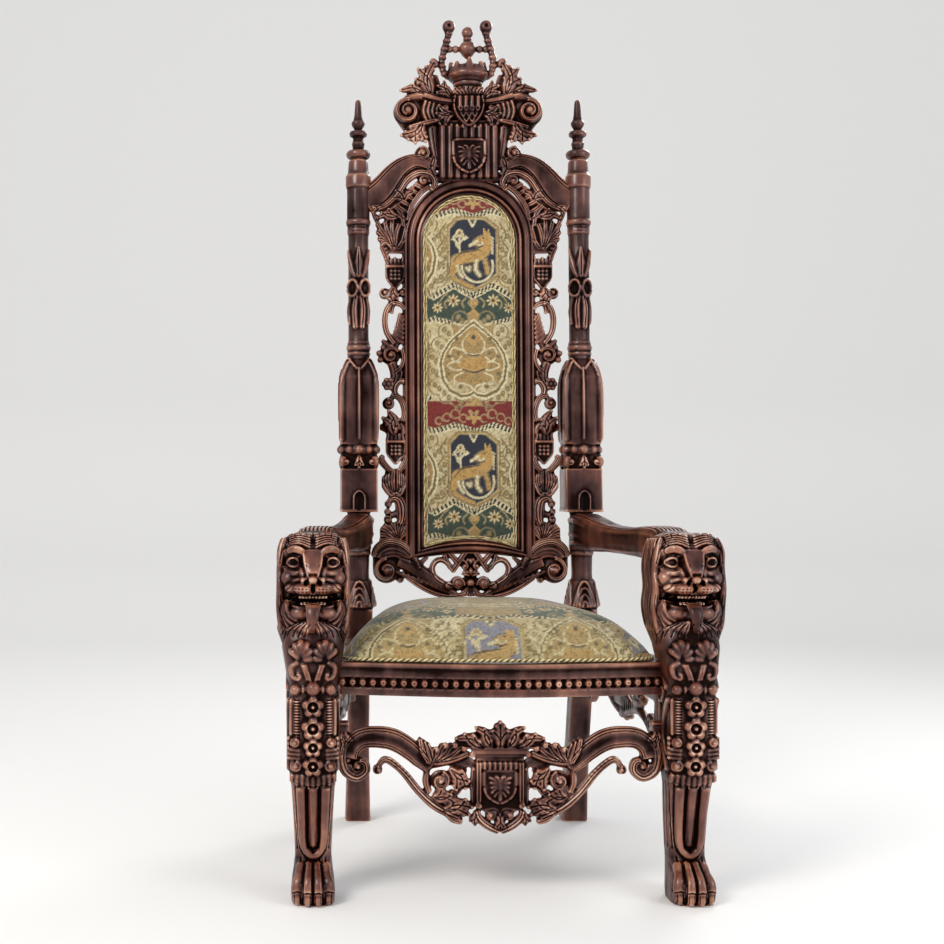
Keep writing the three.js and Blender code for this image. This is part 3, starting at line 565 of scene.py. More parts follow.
def crestSide():
    # ground behind the leaves, and the trunk they grow from
    slab([(30, 1600), (96, 1600), (140, 1606), (164, 1640), (166, 1684), (140, 1706), (110, 1724), (98, 1752),
        (84, 1756), (66, 1722), (40, 1718)], -4, 12)
    lobe([(34, 1684), (72, 1690), (108, 1700), (150, 1690)], [9, 12, 13, 9], 17, y=-3, along=20)
    groove([(34, 1690), (72, 1697), (108, 1707), (140, 1702)], 1.6, 2.2)
    groove([(34, 1678), (72, 1684), (106, 1692)], 1.6, 2.2)
    # tall leaf with a hooked tip, its neighbours, and the leaf towards the crown
    leaf((86, 1696), [(79, 1779), (98, 1766), (117, 1762), (122, 1738)], 9.5, 12, y=-4, frill=2)
    stroke([(76, 1766), (74, 1778), (83, 1784), (88, 1776)], [5, 6, 6, 4], 12, y=-4, along=10)
    leaf((98, 1700), [(133, 1724), (158, 1711)], 8, 12, y=-4, frill=1)
    leaf((36, 1692), [(56, 1733), (70, 1722), (72, 1706)], 7, 10, y=-4, frill=1)
    # the great scroll, and the reeded shell on its inner side
    x, z, r = crest["scroll"]
    scroll(x, z, r, 105, -1.55, 24, y=-4, band=0.2, rear=16, base=0.4)
    for k in range(4):
        reach = 102 - 9.5 * k
        stroke([(reach - 4, 1690 - 3 * k), (reach + 3 - k, 1660), (reach - 8, 1630 + 2 * k)], [4.5, 6, 4.5],
            19 - 2 * k, y=-4, along=12)
    # leaves below the scroll, and the small foliage beside the cartouche
    leaf((104, 1638), [(156, 1604), (140, 1594), (124, 1586), (100, 1590)], 9, 14, y=-6, frill=2)
    lobe([(70, 1640), (104, 1632), (142, 1622)], [6, 8, 5], 18, y=-6, vein=2)
    leaf((34, 1656), [(68, 1674), (74, 1656), (70, 1640), (54, 1630)], 7, 13, y=-5, frill=1)
    scroll(52, 1668, 9, 0, 1.2, 14, y=-8)
    for k in range(5):
        lobe([(16 + 13 * k, 1628 + 1.8 * k), (12 + 13 * k, 1620 + 2 * k)], [6, 5], 21 - 2 * k, y=-6, along=8,
            across=8)
    # small scroll, and the leaf that drops beside the fluted block
    scroll(106, 1563, 21, 60, 1.3, 15, y=-2, band=0.22)
    lobe([(84, 1632), (82, 1604), (78, 1572), (74, 1544)], [13, 14, 12, 8], 13, vein=2)
    leaf((80, 1560), [(92, 1524), (78, 1504)], 9, 12, frill=2)
    lobe([(122, 1560), (104, 1548), (88, 1552)], [6, 7, 5], 13)
    return bothHands(taken())


def shoulder():
    band([(246, 1444), (204, 1476), (162, 1526), (124, 1545), (86, 1534)], [35, 34, 28, 20, 15], 15,
         [0.9, 0.74, -0.58, -0.8], rear=15, along=30)
    # its lower edge curls round into a volute over the pierced corner
    band([(228, 1434), (196, 1440), (164, 1470), (142, 1502), (114, 1517), (88, 1512), (78, 1492),
        (90, 1472)], [8, 8, 8, 9, 9, 9, 9, 6], 17, [0.3, -0.3], rear=10, along=36)
    scroll(104, 1498, 17, 200, -1.2, 15, y=-3, band=0.24)
    # berries and a ribbed leaf fill the corner
    for k in range(9):
        x, z = 120 + 10.5 * k, 1492 - 9.2 * k + 0.3 * k * k
        ball(x, -3, z, (6.2, 8, 6.2))
    leaf((150, 1452), [(128, 1474), (168, 1476), (176, 1458)], 7, 11, frill=1)
    lobe([(206, 1420), (176, 1440), (150, 1456)], [6, 8, 5], 11, vein=2)
    return bothHands(taken())


def crestMiddle():
    half = crest["fluteCount"] * crest["flutePitch"] / 2
    block((-half, -14, 1502), (half, 14, 1640))
    for k in range(crest["fluteCount"]):
        x = -half + (k + 0.5) * crest["flutePitch"]
        stroke([(x, crest["fluteTop"]), (x, crest["fluteFoot"])], [7.6, 7.8, 7.8, 7.6], 11, y=-12, ridge=0.8,
            along=14)
    shield(0, 1592, 37, 78, -24, 5, 12)
    # the cartouche: flutes above, pointed scales below, leaves over its head
    ball(0, -10, 1672, (34, 20, 45), 24, 16)
    rim = [(-31, 1700), (-34, 1672), (-24, 1646), (0, 1626), (24, 1646), (34, 1672), (31, 1700)]
    stroke(rim, [3, 3.4, 3.4, 3], 9, y=-18, along=36, across=8)
    for k in range(4):
        x = -21 + 14 * k
        stroke([(x, 1696), (x * 0.98, 1664)], [5.6, 6], 9, y=-24, along=10)
    for row, count in ((1664, 4), (1650, 3), (1638, 2)):
        for k in range(count):
            x = (k - (count - 1) / 2) * 13.5
            stroke([(x - 6.4, row + 6), (x, row - 5), (x + 6.4, row + 6)], 1.7, 6, y=-25, along=12,
                across=8)
    for k in range(7):
        x = -30 + 10 * k
        leaf((x * 0.7, 1700), [(x * 1.08, 1716 - abs(k - 3))], 6, 13, y=-14, frill=1)
    slab([(-44, 1600), (44, 1600), (44, 1706), (0, 1714), (-44, 1706)], -2, 13)
    # the moulded head of the arch below the block
    band([(-78, 1503), (0, 1500), (78, 1503)], [7, 7, 7], 15, rear=12)
    return taken()


def crown():
    z = crest["crownZ"]
    lathe([(0, 1706), (26, 1706), (31, 1714), (28, 1719), (33, 1723), (35, 1727), (32, 1730), (37, 1733),
        (38, 1736), (44, 1740), (48, 1746), (47, 1753), (42, 1762), (38, 1768), (28, 1768), (0, 1762)])
    for k in range(8):
        # broad pointed leaves stand round the rim, with a small one between each two
        for turn, reach, low, high, thick in ((0, 40, -16, 20 if k % 2 else 26, 6), (22.5, 41, -14, 6, 4)):
            angle = math.radians(-90 + 45 * k + turn)
            x, y = reach * math.cos(angle), reach * math.sin(angle)
            line = [(x * 1.08, y * 1.08, z + low), (x, y, z + (low + high) / 2),
                (x * 0.94, y * 0.94, z + high)]
            drawn(line, radially, [5, 11, 8, 2.6], thick, 5, along=16, ridge=0.8)
    # orb, its ball, and the bar through it
    lathe([(0, 1786), (5, 1790), (13, 1798), (19, 1808), (20, 1814), (17, 1823), (10, 1830), (9, 1832),
        (11, 1836), (8, 1839), (13, 1846), (14, 1852), (11, 1860), (4, 1865), (0, 1866)])
    for k in range(9):
        ball(-56 + 14 * k, 0, 1812, (7.6, 9.5 - (k % 2), 9.5 - (k % 2)))
    return taken()


def crownRods():
    # rods of stacked rings, each with a ball on top that has a dimple
    path = [(46, 1746), (56, 1757), (60, 1778), (57, 1800), (51, 1822), (45, 1844), (43, 1862)]
    steps = 13
    for k in range(steps):
        x, z, _ = flow(path, [k / (steps - 1)])[0]
        wide = 10.5 if k % 2 else 8.6
        ball(x, 0, z, (wide, wide, 7.5 if k % 2 else 6.5))
    r = crest["ballR"]
    ball(43.5, 0, 1881 - r, (r, r, r), 16, 12)
    ball(43.5, -1, 1848, (10, 10, 4))
    dent(43.4, 1881 - r, 4.2, 6, way=(0.2, 0))
    return bothHands(taken())


def makeCrest():
    work = together(crestSide(), shoulder(), crestMiddle(), crown(), crownRods())
    place("crest_carving", carved("crest_carving", work, 2.0, keep=0.5), mahoganyWood, "crest")
    print("crest made")


# Pierced sides of the back.
sideStrip = {"x": 171, "inner": 147, "ledges": (1299, 892)}


def crownedShieldWork(x, ledge):
    # a zigzag crown on a ledge, over a shield with a diapered field
    for k in range(5):
        wide = x - 19 + 9.5 * k
        stroke([(wide, ledge), (wide * 0.9 + x * 0.1, ledge + 13), (wide, ledge + 24 - (k % 2) * 4)],
            [5.5, 4.5, 3], 11, along=10)
    block((x - 22.5, -11, ledge - 4), (x + 22.5, 8, ledge + 3))
    stroke([(x - 23, ledge), (x + 23, ledge)], 3.4, 14, along=10)
    outline = [(x - 21, ledge), (x - 21, ledge - 28), (x, ledge - 54), (x + 21, ledge - 28), (x + 21, ledge)]
    slab(outline, -6, 8)
    for a, b in zip(outline, outline[1:]):
        stroke([a, b], 2.2, 10, along=10, across=8)
    for across in range(3):
        for down in range(3):
            cx, cz = x - 9 + 9 * across, ledge - 11 - 9 * down
            if abs(cx - x) < 24 - 0.8 * (ledge - cz - 11):
                ball(cx, -7, cz, (3.4, 3.4, 3.4), 8, 6)


def sideScrollWork():
    x = sideStrip["x"]
    # a thin stem runs down beside the frame and holds it all
    block((sideStrip["inner"], -3, 660), (sideStrip["inner"] + 7, 6, 1425))
    # ribbed palmette at the top, with pierced ground above it
    for k, (tipX, tipZ) in enumerate([(214, 1404), (215, 1384), (213, 1364), (205, 1350), (196, 1408),
            (178, 1410), (160, 1402)]):
        lobe([(172, 1336), ((172 + tipX) / 2 + 3, 1352 + (tipZ - 1336) * 0.3), (tipX, tipZ)], [4, 8, 6.5],
            [8, 13, 11], 2.4, rear=8)
    slab([(150, 1330), (182, 1330), (204, 1356), (209, 1392), (196, 1404), (160, 1400), (142, 1380)], -6, 7)
    for tip in ((144, 1396), (138, 1372)):
        lobe([(166, 1338), (154, 1356), tip], [4, 7, 6], [8, 13, 11], 2.4, rear=8)
    # a ribbed leaf with berries follows the outside of the arch up to the shoulder
    slab([(146, 1392), (172, 1400), (172, 1430), (150, 1462), (122, 1490), (98, 1500), (88, 1490),
        (112, 1470), (134, 1434)], -2, 8)
    band([(140, 1402), (134, 1436), (112, 1470), (88, 1488)], [5, 6, 6, 5], 12, [0.3, -0.3], along=24)
    for k in range(6):
        root = flow([(146, 1400), (138, 1438), (116, 1470), (94, 1488)], [0.08 + 0.16 * k])[0]
        lobe([root[:2], (root[0] + 15, root[1] + 8), (root[0] + 25, root[1] + 20 - 2 * k)], [5, 7.6, 5],
            [9, 13, 10], 2.2, rear=6)
    for k in range(4):
        lobe([(184 + 3 * k, 1326 + 8 * k), (196 + 3.4 * k, 1314 + 11 * k)], [5, 3.4], 10)
    lobe([(186, 1304), (192, 1322), (204, 1348)], [6, 6, 5], 11, 2)
    # leaf against the post, and ribs up to the shoulder
    leaf((164, 1414), [(186, 1432), (202, 1424), (214, 1412)], 7, 12, frill=1)
    lobe([(150, 1390), (158, 1424), (176, 1444)], [6, 8, 6], 12, 2)
    lobe([(210, 1400), (218, 1418), (224, 1436)], [5, 6, 5], 11, 2)
    crownedShieldWork(x, sideStrip["ledges"][0])
    # curls and a small tulip under the shield
    scroll(195, 1236, 15, 90, -1.2, 14)
    scroll(154, 1238, 12, 90, 1.2, 13)
    leaf((175, 1250), [(186, 1224), (176, 1212), (166, 1224)], 9, 14, frill=1)
    # the long C-scroll, with a pinnate leaf inside it
    band([(146, 1196), (158, 1210), (176, 1213), (189, 1201), (195, 1178), (193, 1152), (184, 1132),
        (172, 1116)], [5, 6.4, 7, 7, 7, 7, 7, 6], 13, [0, 0.75], along=34)
    lobe([(176, 1212), (180, 1198), (176, 1188)], [6, 7, 4], 11, 2)
    for k in range(6):
        lobe([(150, 1120 + 10 * k), (166 - 1.2 * k, 1128 + 11 * k), (178 - 3.6 * k, 1142 + 10 * k)],
            [5, 6, 4], 12, 1.8)
    lobe([(172, 1108), (160, 1150), (152, 1190)], [8, 11, 5], 9)
    # acanthus volute with its hooked tip
    scroll(182, 1092, 25, 160, -1.25, 15, band=0.2)
    stroke([(178, 1108), (192, 1118), (203, 1129)], [8, 8, 4], 14, along=12)
    for k in range(4):
        angle = math.radians(-30 + 42 * k)
        ball(184 + 25 * math.cos(angle), -4, 1092 + 22 * math.sin(angle), (7.5, 10, 7.5))
    band([(156, 1108), (152, 1084), (160, 1062), (176, 1050)], [4.5, 5, 5, 5], 13, [0], along=20)
    # stem with a cluster of berries, and the horn beside it
    lobe([(180, 1078), (172, 1050), (176, 1020)], [12, 12, 8], 13, 2)
    lobe([(158, 1058), (162, 1040), (176, 1020)], [6, 8, 6], 11, 2)
    for k in range(7):
        angle = math.radians(60 * k)
        reach = 0 if k == 6 else 8.5
        ball(187 + reach * 1.2 * math.cos(angle), -7, 1025 + reach * 1.2 * math.sin(angle), (6.4, 8, 6.4))
    band([(148, 1032), (164, 1030), (173, 1014), (170, 998)], [6, 8, 8, 6], 13, [0.4, -0.4], along=20)
    # small scroll and the arc that falls from it, then a leaf
    scroll(187, 980, 16, 60, 1.3, 16, band=0.24)
    band([(184, 996), (168, 997), (156, 984), (150, 960), (154, 936)], [6, 7.4, 7.6, 7.4, 6], 14, [0.2, -0.4],
        along=26)
    leaf((176, 908), [(200, 946), (187, 962), (174, 950), (166, 930)], 10, 14, frill=1)
    lobe([(152, 908), (156, 926), (168, 940)], [7, 8, 5], 12)
    crownedShieldWork(x, sideStrip["ledges"][1])
    # ribbed horns, then a double palmette of tall ribs over two nested arcs
    for hand, reach in ((1, 33), (-1, 24)):
        band([(x + hand * 4, 822), (x + hand * 0.6 * reach, 832), (x + hand * reach, 850),
            (x + hand * (reach - 6), 862)], [5, 8, 9, 5], 14, [0, 0.5, -0.5], along=20)
        for k in range(4):
            lobe([(x + hand * (3 + 1.5 * k), 768), (x + hand * (6 + reach * 0.2 * k), 796),
                (x + hand * (5 + reach * 0.21 * k), 830 - 5 * k)], [4, 6.4, 5], [9, 14, 11], 2.2)
        for k in range(2):
            band([(x, 764 + 7 * k), (x + hand * 0.5 * reach, 772 + 8 * k),
                (x + hand * reach * 0.95, 792 + 6 * k)], [4, 4.6, 4], 15, along=16)
    slab([(146, 830), (194, 830), (200, 790), (172, 760), (146, 770)], -3, 7)
    # a bold curved leaf, with curls on its outer side
    band([(188, 750), (177, 762), (163, 756), (157, 736), (158, 712), (164, 700)], [6, 10, 14, 16, 13, 8], 15,
        [0.6, 0.1, -0.4], along=28)
    scroll(188, 748, 10, 0, 1.2, 14)
    scroll(190, 730, 9, 20, 1.1, 13)
    scroll(189, 712, 11, 40, 1.1, 13)
    lobe([(166, 726), (184, 722)], [10, 7], 12)
    # ribbed fan at the foot
    for k in range(6):
        tip = (210 - 1.5 * k if k < 3 else 214 - 14 * (k - 2), 664 + 15 * k if k < 3 else 702 + 3 * (k - 3))
        lobe([(166, 662), ((166 + tip[0]) / 2, 664 + (tip[1] - 662) * 0.6), tip], [5, 8, 7], [8, 13, 11], 2.4)
    for tip in ((150, 712), (142, 700), (140, 684)):
        lobe([(166, 662), ((166 + tip[0]) / 2 + 2, 664 + (tip[1] - 662) * 0.6), tip], [5, 7, 6], [8, 13, 11],
            2.4)
    slab([(140, 656), (206, 656), (208, 690), (190, 706), (142, 704)], -3, 7)
    return taken()


def makeSideStrips():
    work = sideScrollWork()
    mesh = carved("side_scroll_carving", work, 1.9, keep=0.42)
    placePair("side_scroll_carving", mesh, "side_scroll")
    print("sides of the back made")


# Lower rail of the back.
def makeLowerRail():
    # end volute with a ball for its eye, under a ribbed strap
    scroll(193, 597, 34, 95, -1.3, 20, y=-2, band=0.18, base=0.5)
    ball(189, -12, 596, (13, 13, 13))
    band([(222, 624), (214, 646), (190, 661), (158, 655), (134, 634), (120, 610), (116, 598)],
        [8, 10, 11, 11, 10, 8, 5], 18, [0.55, 0.1, -0.35, -0.75], along=34)
    for k in range(3):
        band([(212 - 3 * k, 622 - k), (204 - 4 * k, 638 - 6 * k), (182 - 3 * k, 646 - 8 * k),
            (156, 640 - 8 * k), (136, 622 - 5 * k)], [4, 5, 5.4, 5, 3.4], 16 - k, along=24)
    slab([(224, 600), (224, 640), (190, 656), (150, 646), (124, 612), (150, 606), (180, 616)], -6, 8)
    # the plain wedge that runs down to the middle, with a leafed lower edge
    band([(170, 618), (134, 604), (100, 581), (66, 560), (40, 548)], [14, 18, 19, 17, 12], 13, [0.84, -0.74],
        along=26, rear=9)
    for k in range(11):
        x = 152 - 11.5 * k
        z = 583 - 4.4 * k + 0.02 * k * k
        lobe([(x + 6, z + 9), (x - 2, z + 1), (x - 9, z - 2.5 * (k < 9))], [4.5, 5.2, 3.6], 15, 1.8)
    band([(150, 582), (110, 556), (72, 540), (36, 537), (0, 545)], [5, 6, 6, 6, 5], 15, [0], along=28)
    scroll(161, 575, 10, 120, 1.1, 14)
    lobe([(156, 584), (168, 592), (176, 590)], [5, 5, 4], 10)
    # eyes, the C-scrolls above them, and ribbons crossed under the frame
    for x, z, r in ((30, 566, 19), (52, 560, 12)):
        scroll(x, z, r, 200, -1.1, 17, y=-2, band=0.2)
        ball(x, -12, z, (r * 0.62, r * 0.62, r * 0.62))
    band([(60, 566), (80, 580), (88, 600), (80, 616), (66, 620), (52, 610), (46, 596)], [6, 6, 7, 7, 7, 6, 4],
        15, [0.45, -0.45], along=34)
    for start, end in (((8, 642), (44, 590)), ((52, 640), (28, 612))):
        band([start, end], [7, 7], 12, [0], along=14)
    lobe([(60, 634), (54, 616), (40, 600)], [5, 7, 5], 12, 2)
    lobe([(96, 628), (110, 616), (120, 604)], [4, 6, 6], 12, 2)
    # small carved mask of leaves at the centre, a bead, and the fan at the foot
    scroll(13, 606, 10, 90, 1.2, 15, y=-3)
    lobe([(4, 624), (10, 616), (18, 620)], [4, 5, 3], 13)
    leaf((2, 586), [(14, 596), (20, 588)], 5, 13, frill=1)
    half = bothHands(taken())
    ball(0, -8, 567, (9, 10, 9))
    ball(0, -4, 594, (7, 13, 10))
    ball(0, -6, 617, (6, 9, 8))
    block((-14, -4, 550), (14, 7, 640))
    for k in range(7):
        angle = math.radians(-90 + 16 * (k - 3))
        lobe([(0, 562), (26 * math.cos(angle), 562 + 27 * math.sin(angle))], [3, 5], [8, 15], 1.8)
    mesh = carved("lower_rail_carving", together(half, taken()), 1.9, keep=0.45)
    place("lower_rail_carving", mesh, mahoganyWood, "lower_back_rail")
    print("lower rail made")


# Front apron.
def apronWork():
    # moulded arm, hollow along its face between raised edges
    armLine = [(290, 262), (282, 288), (262, 303), (232, 305), (204, 300), (176, 284), (152, 262), (132, 240)]
    band(armLine, [18, 20, 21, 22, 22, 21, 18, 10], 14, [0.82, 0.58, -0.6, -0.84], along=40, rear=10)
    groove(armLine, 9, 3.5, 0.1, 0.98, count=20)
    # its outer end turns down into a volute against the leg
    band([(306, 312), (300, 296), (304, 268), (296, 240), (274, 228), (256, 240), (258, 258), (272, 262)],
         [10, 11, 11, 10, 9, 8, 7, 5], 17, [0.4, -0.4], along=40)
    scroll(272, 250, 20, 20, -1.2, 16, band=0.22)
    block((290, -13, 318), (316, 8, 330))
    stroke([(288, 332), (318, 332)], 5, 16, along=10)
    leaf((300, 318), [(284, 300), (296, 292), (310, 296)], 6, 16, frill=1)
    # rope-edged lower member with a small curl, run down to the foot of the shield
    lower = [(236, 244), (222, 262), (204, 254), (182, 234), (156, 202), (128, 176), (100, 160), (74, 148)]
    band(lower, [5, 7, 7, 8, 8, 9, 9, 7], 13, [-0.5, 0.2], along=44)
    scroll(234, 242, 11, 60, -1.1, 14)
    for k in range(7):
        point = flow(lower, [0.17 + 0.042 * k])[0]
        ball(point[0] + 1, -8, point[1] + 6, (5.2, 6, 4.4), 10, 6)
    # strap across the arm's inner end
    for k in range(3):
        band([(154 - 7 * k, 306 - 5 * k), (150 - 8 * k, 280), (138 - 6 * k, 252)], [4.6, 5, 4.6], 20 - 2 * k,
            [0], along=16)
    # plume of curled leaves up to the shield
    for k, (tipX, tipZ) in enumerate([(126, 286), (108, 294), (90, 294), (72, 288), (56, 276)]):
        lobe([(138, 246 + 2 * k), ((138 + tipX) / 2 - 4, 252 + (tipZ - 246) * 0.35), (tipX, tipZ)],
            [6, 9, 8, 6], [12, 16, 15], 2.6)
        ball(tipX - 3, -13, tipZ - 3, (6.4, 6, 6.4))
    slab([(146, 240), (130, 276), (96, 282), (50, 262), (46, 246), (100, 250)], -5, 9)
    # ring scroll beside the shield, with leaves and stems round it
    scroll(114, 222, 22, 100, 1.3, 16, band=0.26, base=0.3)
    leaf((96, 246), [(70, 236), (60, 222), (66, 208), (84, 206)], 8, 14, frill=2)
    lobe([(138, 246), (142, 220), (134, 196)], [6, 7, 6], 13, 2)
    lobe([(96, 204), (84, 196), (70, 212), (50, 210)], [5, 5, 5, 5], 12, 2)
    lobe([(50, 250), (52, 214), (50, 172)], [5, 5, 6], 11, 2)
    leaf((128, 190), [(112, 206), (94, 196), (86, 180)], 8, 14, frill=2)
    leaf((112, 164), [(88, 184), (66, 186), (54, 172), (60, 158)], 9, 15, frill=2)
    lobe([(104, 160), (88, 148), (70, 142)], [6, 9, 6], 15, 2.2)
    # crest of leaves over the ledge
    leaf((28, 284), [(84, 303), (68, 312), (50, 308)], 8, 14, frill=1)
    leaf((16, 286), [(46, 324), (30, 322)], 8, 15, frill=1)
    lobe([(52, 288), (74, 292), (86, 304)], [5, 5, 4], 12, 1.6)
    # scrolls under the shield
    scroll(18, 156, 14, 100, 1.2, 15, band=0.3, base=0.0)
    band([(46, 166), (40, 150), (24, 136), (0, 124)], [7, 8, 8, 7], 15, [0.4, -0.4], along=24)
    leaf((44, 160), [(58, 146), (48, 138)], 6, 14, frill=1)
    lobe([(30, 164), (8, 166), (0, 150)], [4, 5, 4], 12, 1.4)
    return taken()


def apronMiddle():
    slab([(-46, 276), (-46, 172), (-20, 156), (20, 156), (46, 172), (46, 276)], -8, 12)
    for low, high, wide, front in ((270, 275, 48, -14), (275, 280, 52, -17), (280, 285, 54, -15),
            (262, 270, 45, -12)):
        block((-wide, front, low), (wide, 11, high))
    for k in range(7):
        x = -30 + 10 * k
        stroke([(x, 260), (x, 244)], [3.8, 3.4], 12, y=-6, along=10, ridge=0.6)
    for hand in (-1, 1):
        for k in range(2):
            stroke([(hand * (38 + 6 * k), 262), (hand * (38 + 6 * k), 178)], [2.6, 2.6], 12, y=-5, along=16)
        scroll(hand * 40, 176, 9, 90, -hand * 1.2, 17, y=-3)
    shield(0, 242, 31, 64, -11, 4, 8)
    # middle leaf of the crest and the drop at the foot
    leaf((0, 284), [(-14, 318), (0, 334), (14, 318)], 10, 16, frill=2)
    for x, z in ((-20, 300), (20, 300), (-40, 298), (40, 298), (0, 300)):
        ball(x, -12, z, (6, 7, 6))
    leaf((0, 158), [(-8, 134), (0, 129), (8, 134)], 7, 16, frill=1)
    return taken()


def makeFrontApron():
    work = together(bothHands(apronWork()), apronMiddle())
    mesh = carved("front_apron_carving", work, 2.0, leaning=False, keep=0.42)
    points, _ = arrays(mesh)
    moved(mesh, points + (0, throne["apronY"], 0))
    place("front_apron_carving", mesh, mahoganyWood, "front_apron")
    print("front apron made")


# Back posts.
post = {"x": 256, "shaft": 23.5, "block": 42, "petals": 4}


def column(stations, power=2.0, sides=48, step=6):
    # a closed column: stations are [z, middle y, half width, half depth]
    levels = np.array(stations, float)
    rows = np.unique(np.concatenate([np.arange(levels[0, 0], levels[-1, 0], step), levels[:, 0]]))
    points, faces = turned([(0, rows[0]), *[(1, z) for z in rows], (0, rows[-1])], sides)
    y, width, depth = (np.interp(points[:, 2], levels[:, 0], levels[:, k]) for k in (1, 2, 3))
    reach = np.maximum((np.abs(points[:, 0]) ** power + np.abs(points[:, 1]) ** power) ** (1 / power), 1e-6)
    reach[np.hypot(points[:, 0], points[:, 1]) < 0.5] = 1
    add((np.stack([points[:, 0] / reach * width, y + points[:, 1] / reach * depth, points[:, 2]], -1), faces))


def postWork():
    # drawn about x = 0 and y = 0, then moved to its place and leant back
    # rear leg, square and raked
    legLine = [(0, 329, 30, 28), (70, 315, 28, 27), (200, 278, 25, 27), (330, 240, 25, 27),
        (386, 229, 28, 28), (398, 226, 31, 31), (508, backAt(508), 31, 31)]
    column([(z, y - backAt(z), w, d) for z, y, w, d in legLine], power=9)
    # turned parts
    lathe([(0, 500), (28, 500), (25, 560), (23.5, 590), (24.5, 630), (28, 634), (28, 639), (25, 641),
        (29, 645), (29, 650), (26, 720), (26, 830), (36, 836), (36, 858), (44, 864), (47, 873), (44, 883),
        (30, 888), (24, 1080), (26, 1086), (25, 1090), (28, 1095), (25, 1100), (28.5, 1106), (28.5, 1112),
        (25, 1116), (26, 1120), (23.5, 1126), (23.5, 1372), (26, 1376), (25.4, 1394), (29, 1398), (29, 1405),
        (26.4, 1408), (26.4, 1482), (29.4, 1485), (29.6, 1511), (26, 1514), (24, 1520), (22.6, 1547),
        (0, 1547.9)])
    # a flared skirt of petals over the square block, each of nested arches
    lathe([(0, 512), (37, 512), (38, 518), (35, 534), (31, 552), (26, 572), (0, 574)])
    for k in range(post["petals"]):
        middle = math.tau * k / post["petals"]
        for share, thick in ((1.0, 3.2), (0.74, 2.6), (0.48, 2.6), (0.22, 2.4)):
            arch = []
            for t in np.linspace(-1, 1, 9):
                z = 513 + (57 * share + 2) * (1 - abs(t) ** 2.6)
                reach = np.interp(z, [512, 534, 572], [40, 36, 27.5])
                angle = middle + t * share * math.pi / post["petals"] * 0.86
                arch.append((reach * math.cos(angle), reach * math.sin(angle), z))
            drawn(arch, radially, thick, 3.4, 5, along=24, across=8)
    # niche block, with a barred arch on its front, and sills above and below
    side = post["block"]
    block((-side, -side, 730), (side, side, 829))
    block((-side - 1.5, -side - 1.5, 730), (side + 1.5, side + 1.5, 735))
    reach = 12.5
    arch = [(-reach, 733), (-reach, 762), (-reach * 0.7, 772), (0, 778), (reach * 0.7, 772), (reach, 762),
        (reach, 733)]
    stroke(arch, 2.6, 5, y=-side, along=30, across=8)
    for k in range(8):
        groove([(-8, 738 + 4.8 * k), (8, 738 + 4.8 * k)], 1.2, 2.4)
    groove([(0, 736), (0, 768)], 8, 3)
    # scroll band: a curl at each corner and a bud between
    for hand in (-1, 1):
        scroll(hand * 29, 845, 12.5, 90, -hand * 1.2, 12, y=-33)
        ball(hand * 37, -37, 845, (9, 9, 13))
        ball(hand * 37, 36, 845, (9, 9, 13))
        for across in (-1, 1):
            drawn([(across * 36, hand * 22, 862), (across * 40, hand * 24, 845),
                (across * 38, hand * 22, 832)], (across, 0, 0), [8, 11, 8], 6, 8, along=12)
    leaf((0, 858), [(-8, 838), (0, 833), (8, 838)], 7, 12, y=-33, frill=0)
    column([(830, 0, 36, 36), (862, 0, 37, 37)], power=5)
    for k in range(12):
        angle = math.tau * k / 12
        ball(40 * math.cos(angle), 40 * math.sin(angle), 873, (11, 11, 11))
    # tall block: square below, each face rises in a pointed arch, with a ridge down its middle
    column([(885, 0, 43, 43), (1000, 0, 43, 43), (1040, 0, 41, 41), (1064, 0, 34, 34), (1084, 0, 22, 22)],
        power=7)
    for angle in range(4):
        turn = math.radians(90 * angle)
        out = np.array((math.sin(turn), -math.cos(turn)))
        across = np.array((math.cos(turn), math.sin(turn)))

        def on(u, forward, z):
            return (*(across * u + out * forward), z)

        drawn([on(0, 41, 890), on(0, 43, 1000), on(0, 40, 1046), on(0, 32, 1066)], (*out, 0),
            [2.8, 3.2, 3.2, 2.4], 5.5, 6, along=20)
        for hand in (-1, 1):
            drawn([on(hand * 41, 40, 888), on(hand * 41, 41, 1000), on(hand * 39, 39, 1034),
                on(hand * 28, 32, 1066), on(hand * 16, 24, 1082)], (*out, 0), [3, 3.6, 3.6, 3.4, 2.6], 5, 8,
                along=26)
            drawn([on(hand * 3, 36, 1056), on(hand * 16, 30, 1072), on(hand * 24, 22, 1084)], (*out, 0),
                [2.6, 3, 2.4], 5, 6, along=14)
    # bow on the shaft: two ring loops, a knot, leaves above and ribbons below
    front = -post["shaft"]
    for hand in (-1, 1):
        ring = [(hand * (13 + 10 * math.cos(a)), 1246 + 19 * math.sin(a))
            for a in np.linspace(0, math.tau, 14)]
        wrapped = [(x, -math.sqrt(max(40.0, 25 ** 2 - x * x)), z) for x, z in ring]
        drawn(wrapped, radially, 4.2, 7, 5, along=44, across=8)
        tail = handed(hand, [(3, -24, 1232), (10, -23, 1200), (8, -24, 1150)])
        drawn(tail, radially, [5, 7, 6], 5, 5, along=18)
        tail = handed(hand, [(16, -18, 1228), (22, -11, 1196), (20, -14, 1160)])
        drawn(tail, radially, [5, 7, 5], 5, 5, along=18)
        drawn(handed(hand, [(6, -23, 1268), (17, -17, 1300), (23, -10, 1340)]), radially, [5, 8, 3], 6, 5,
            along=18)
        groove(handed(hand, [(7, 1226), (11, 1196), (8, 1154)]), 1.3, 2)
    ball(0, front - 3, 1246, (7, 7, 9))
    stroke([(0, 1268), (0, 1304), (0, 1344)], [5, 10, 2], 6, y=front, along=16)
    groove([(0, 1276), (0, 1338)], 1.3, 2.2)
    for k in range(6):
        groove([(-14, 1378 + 3 * k), (14, 1378 + 3 * k)], 0.8, 0.7)
    return taken()


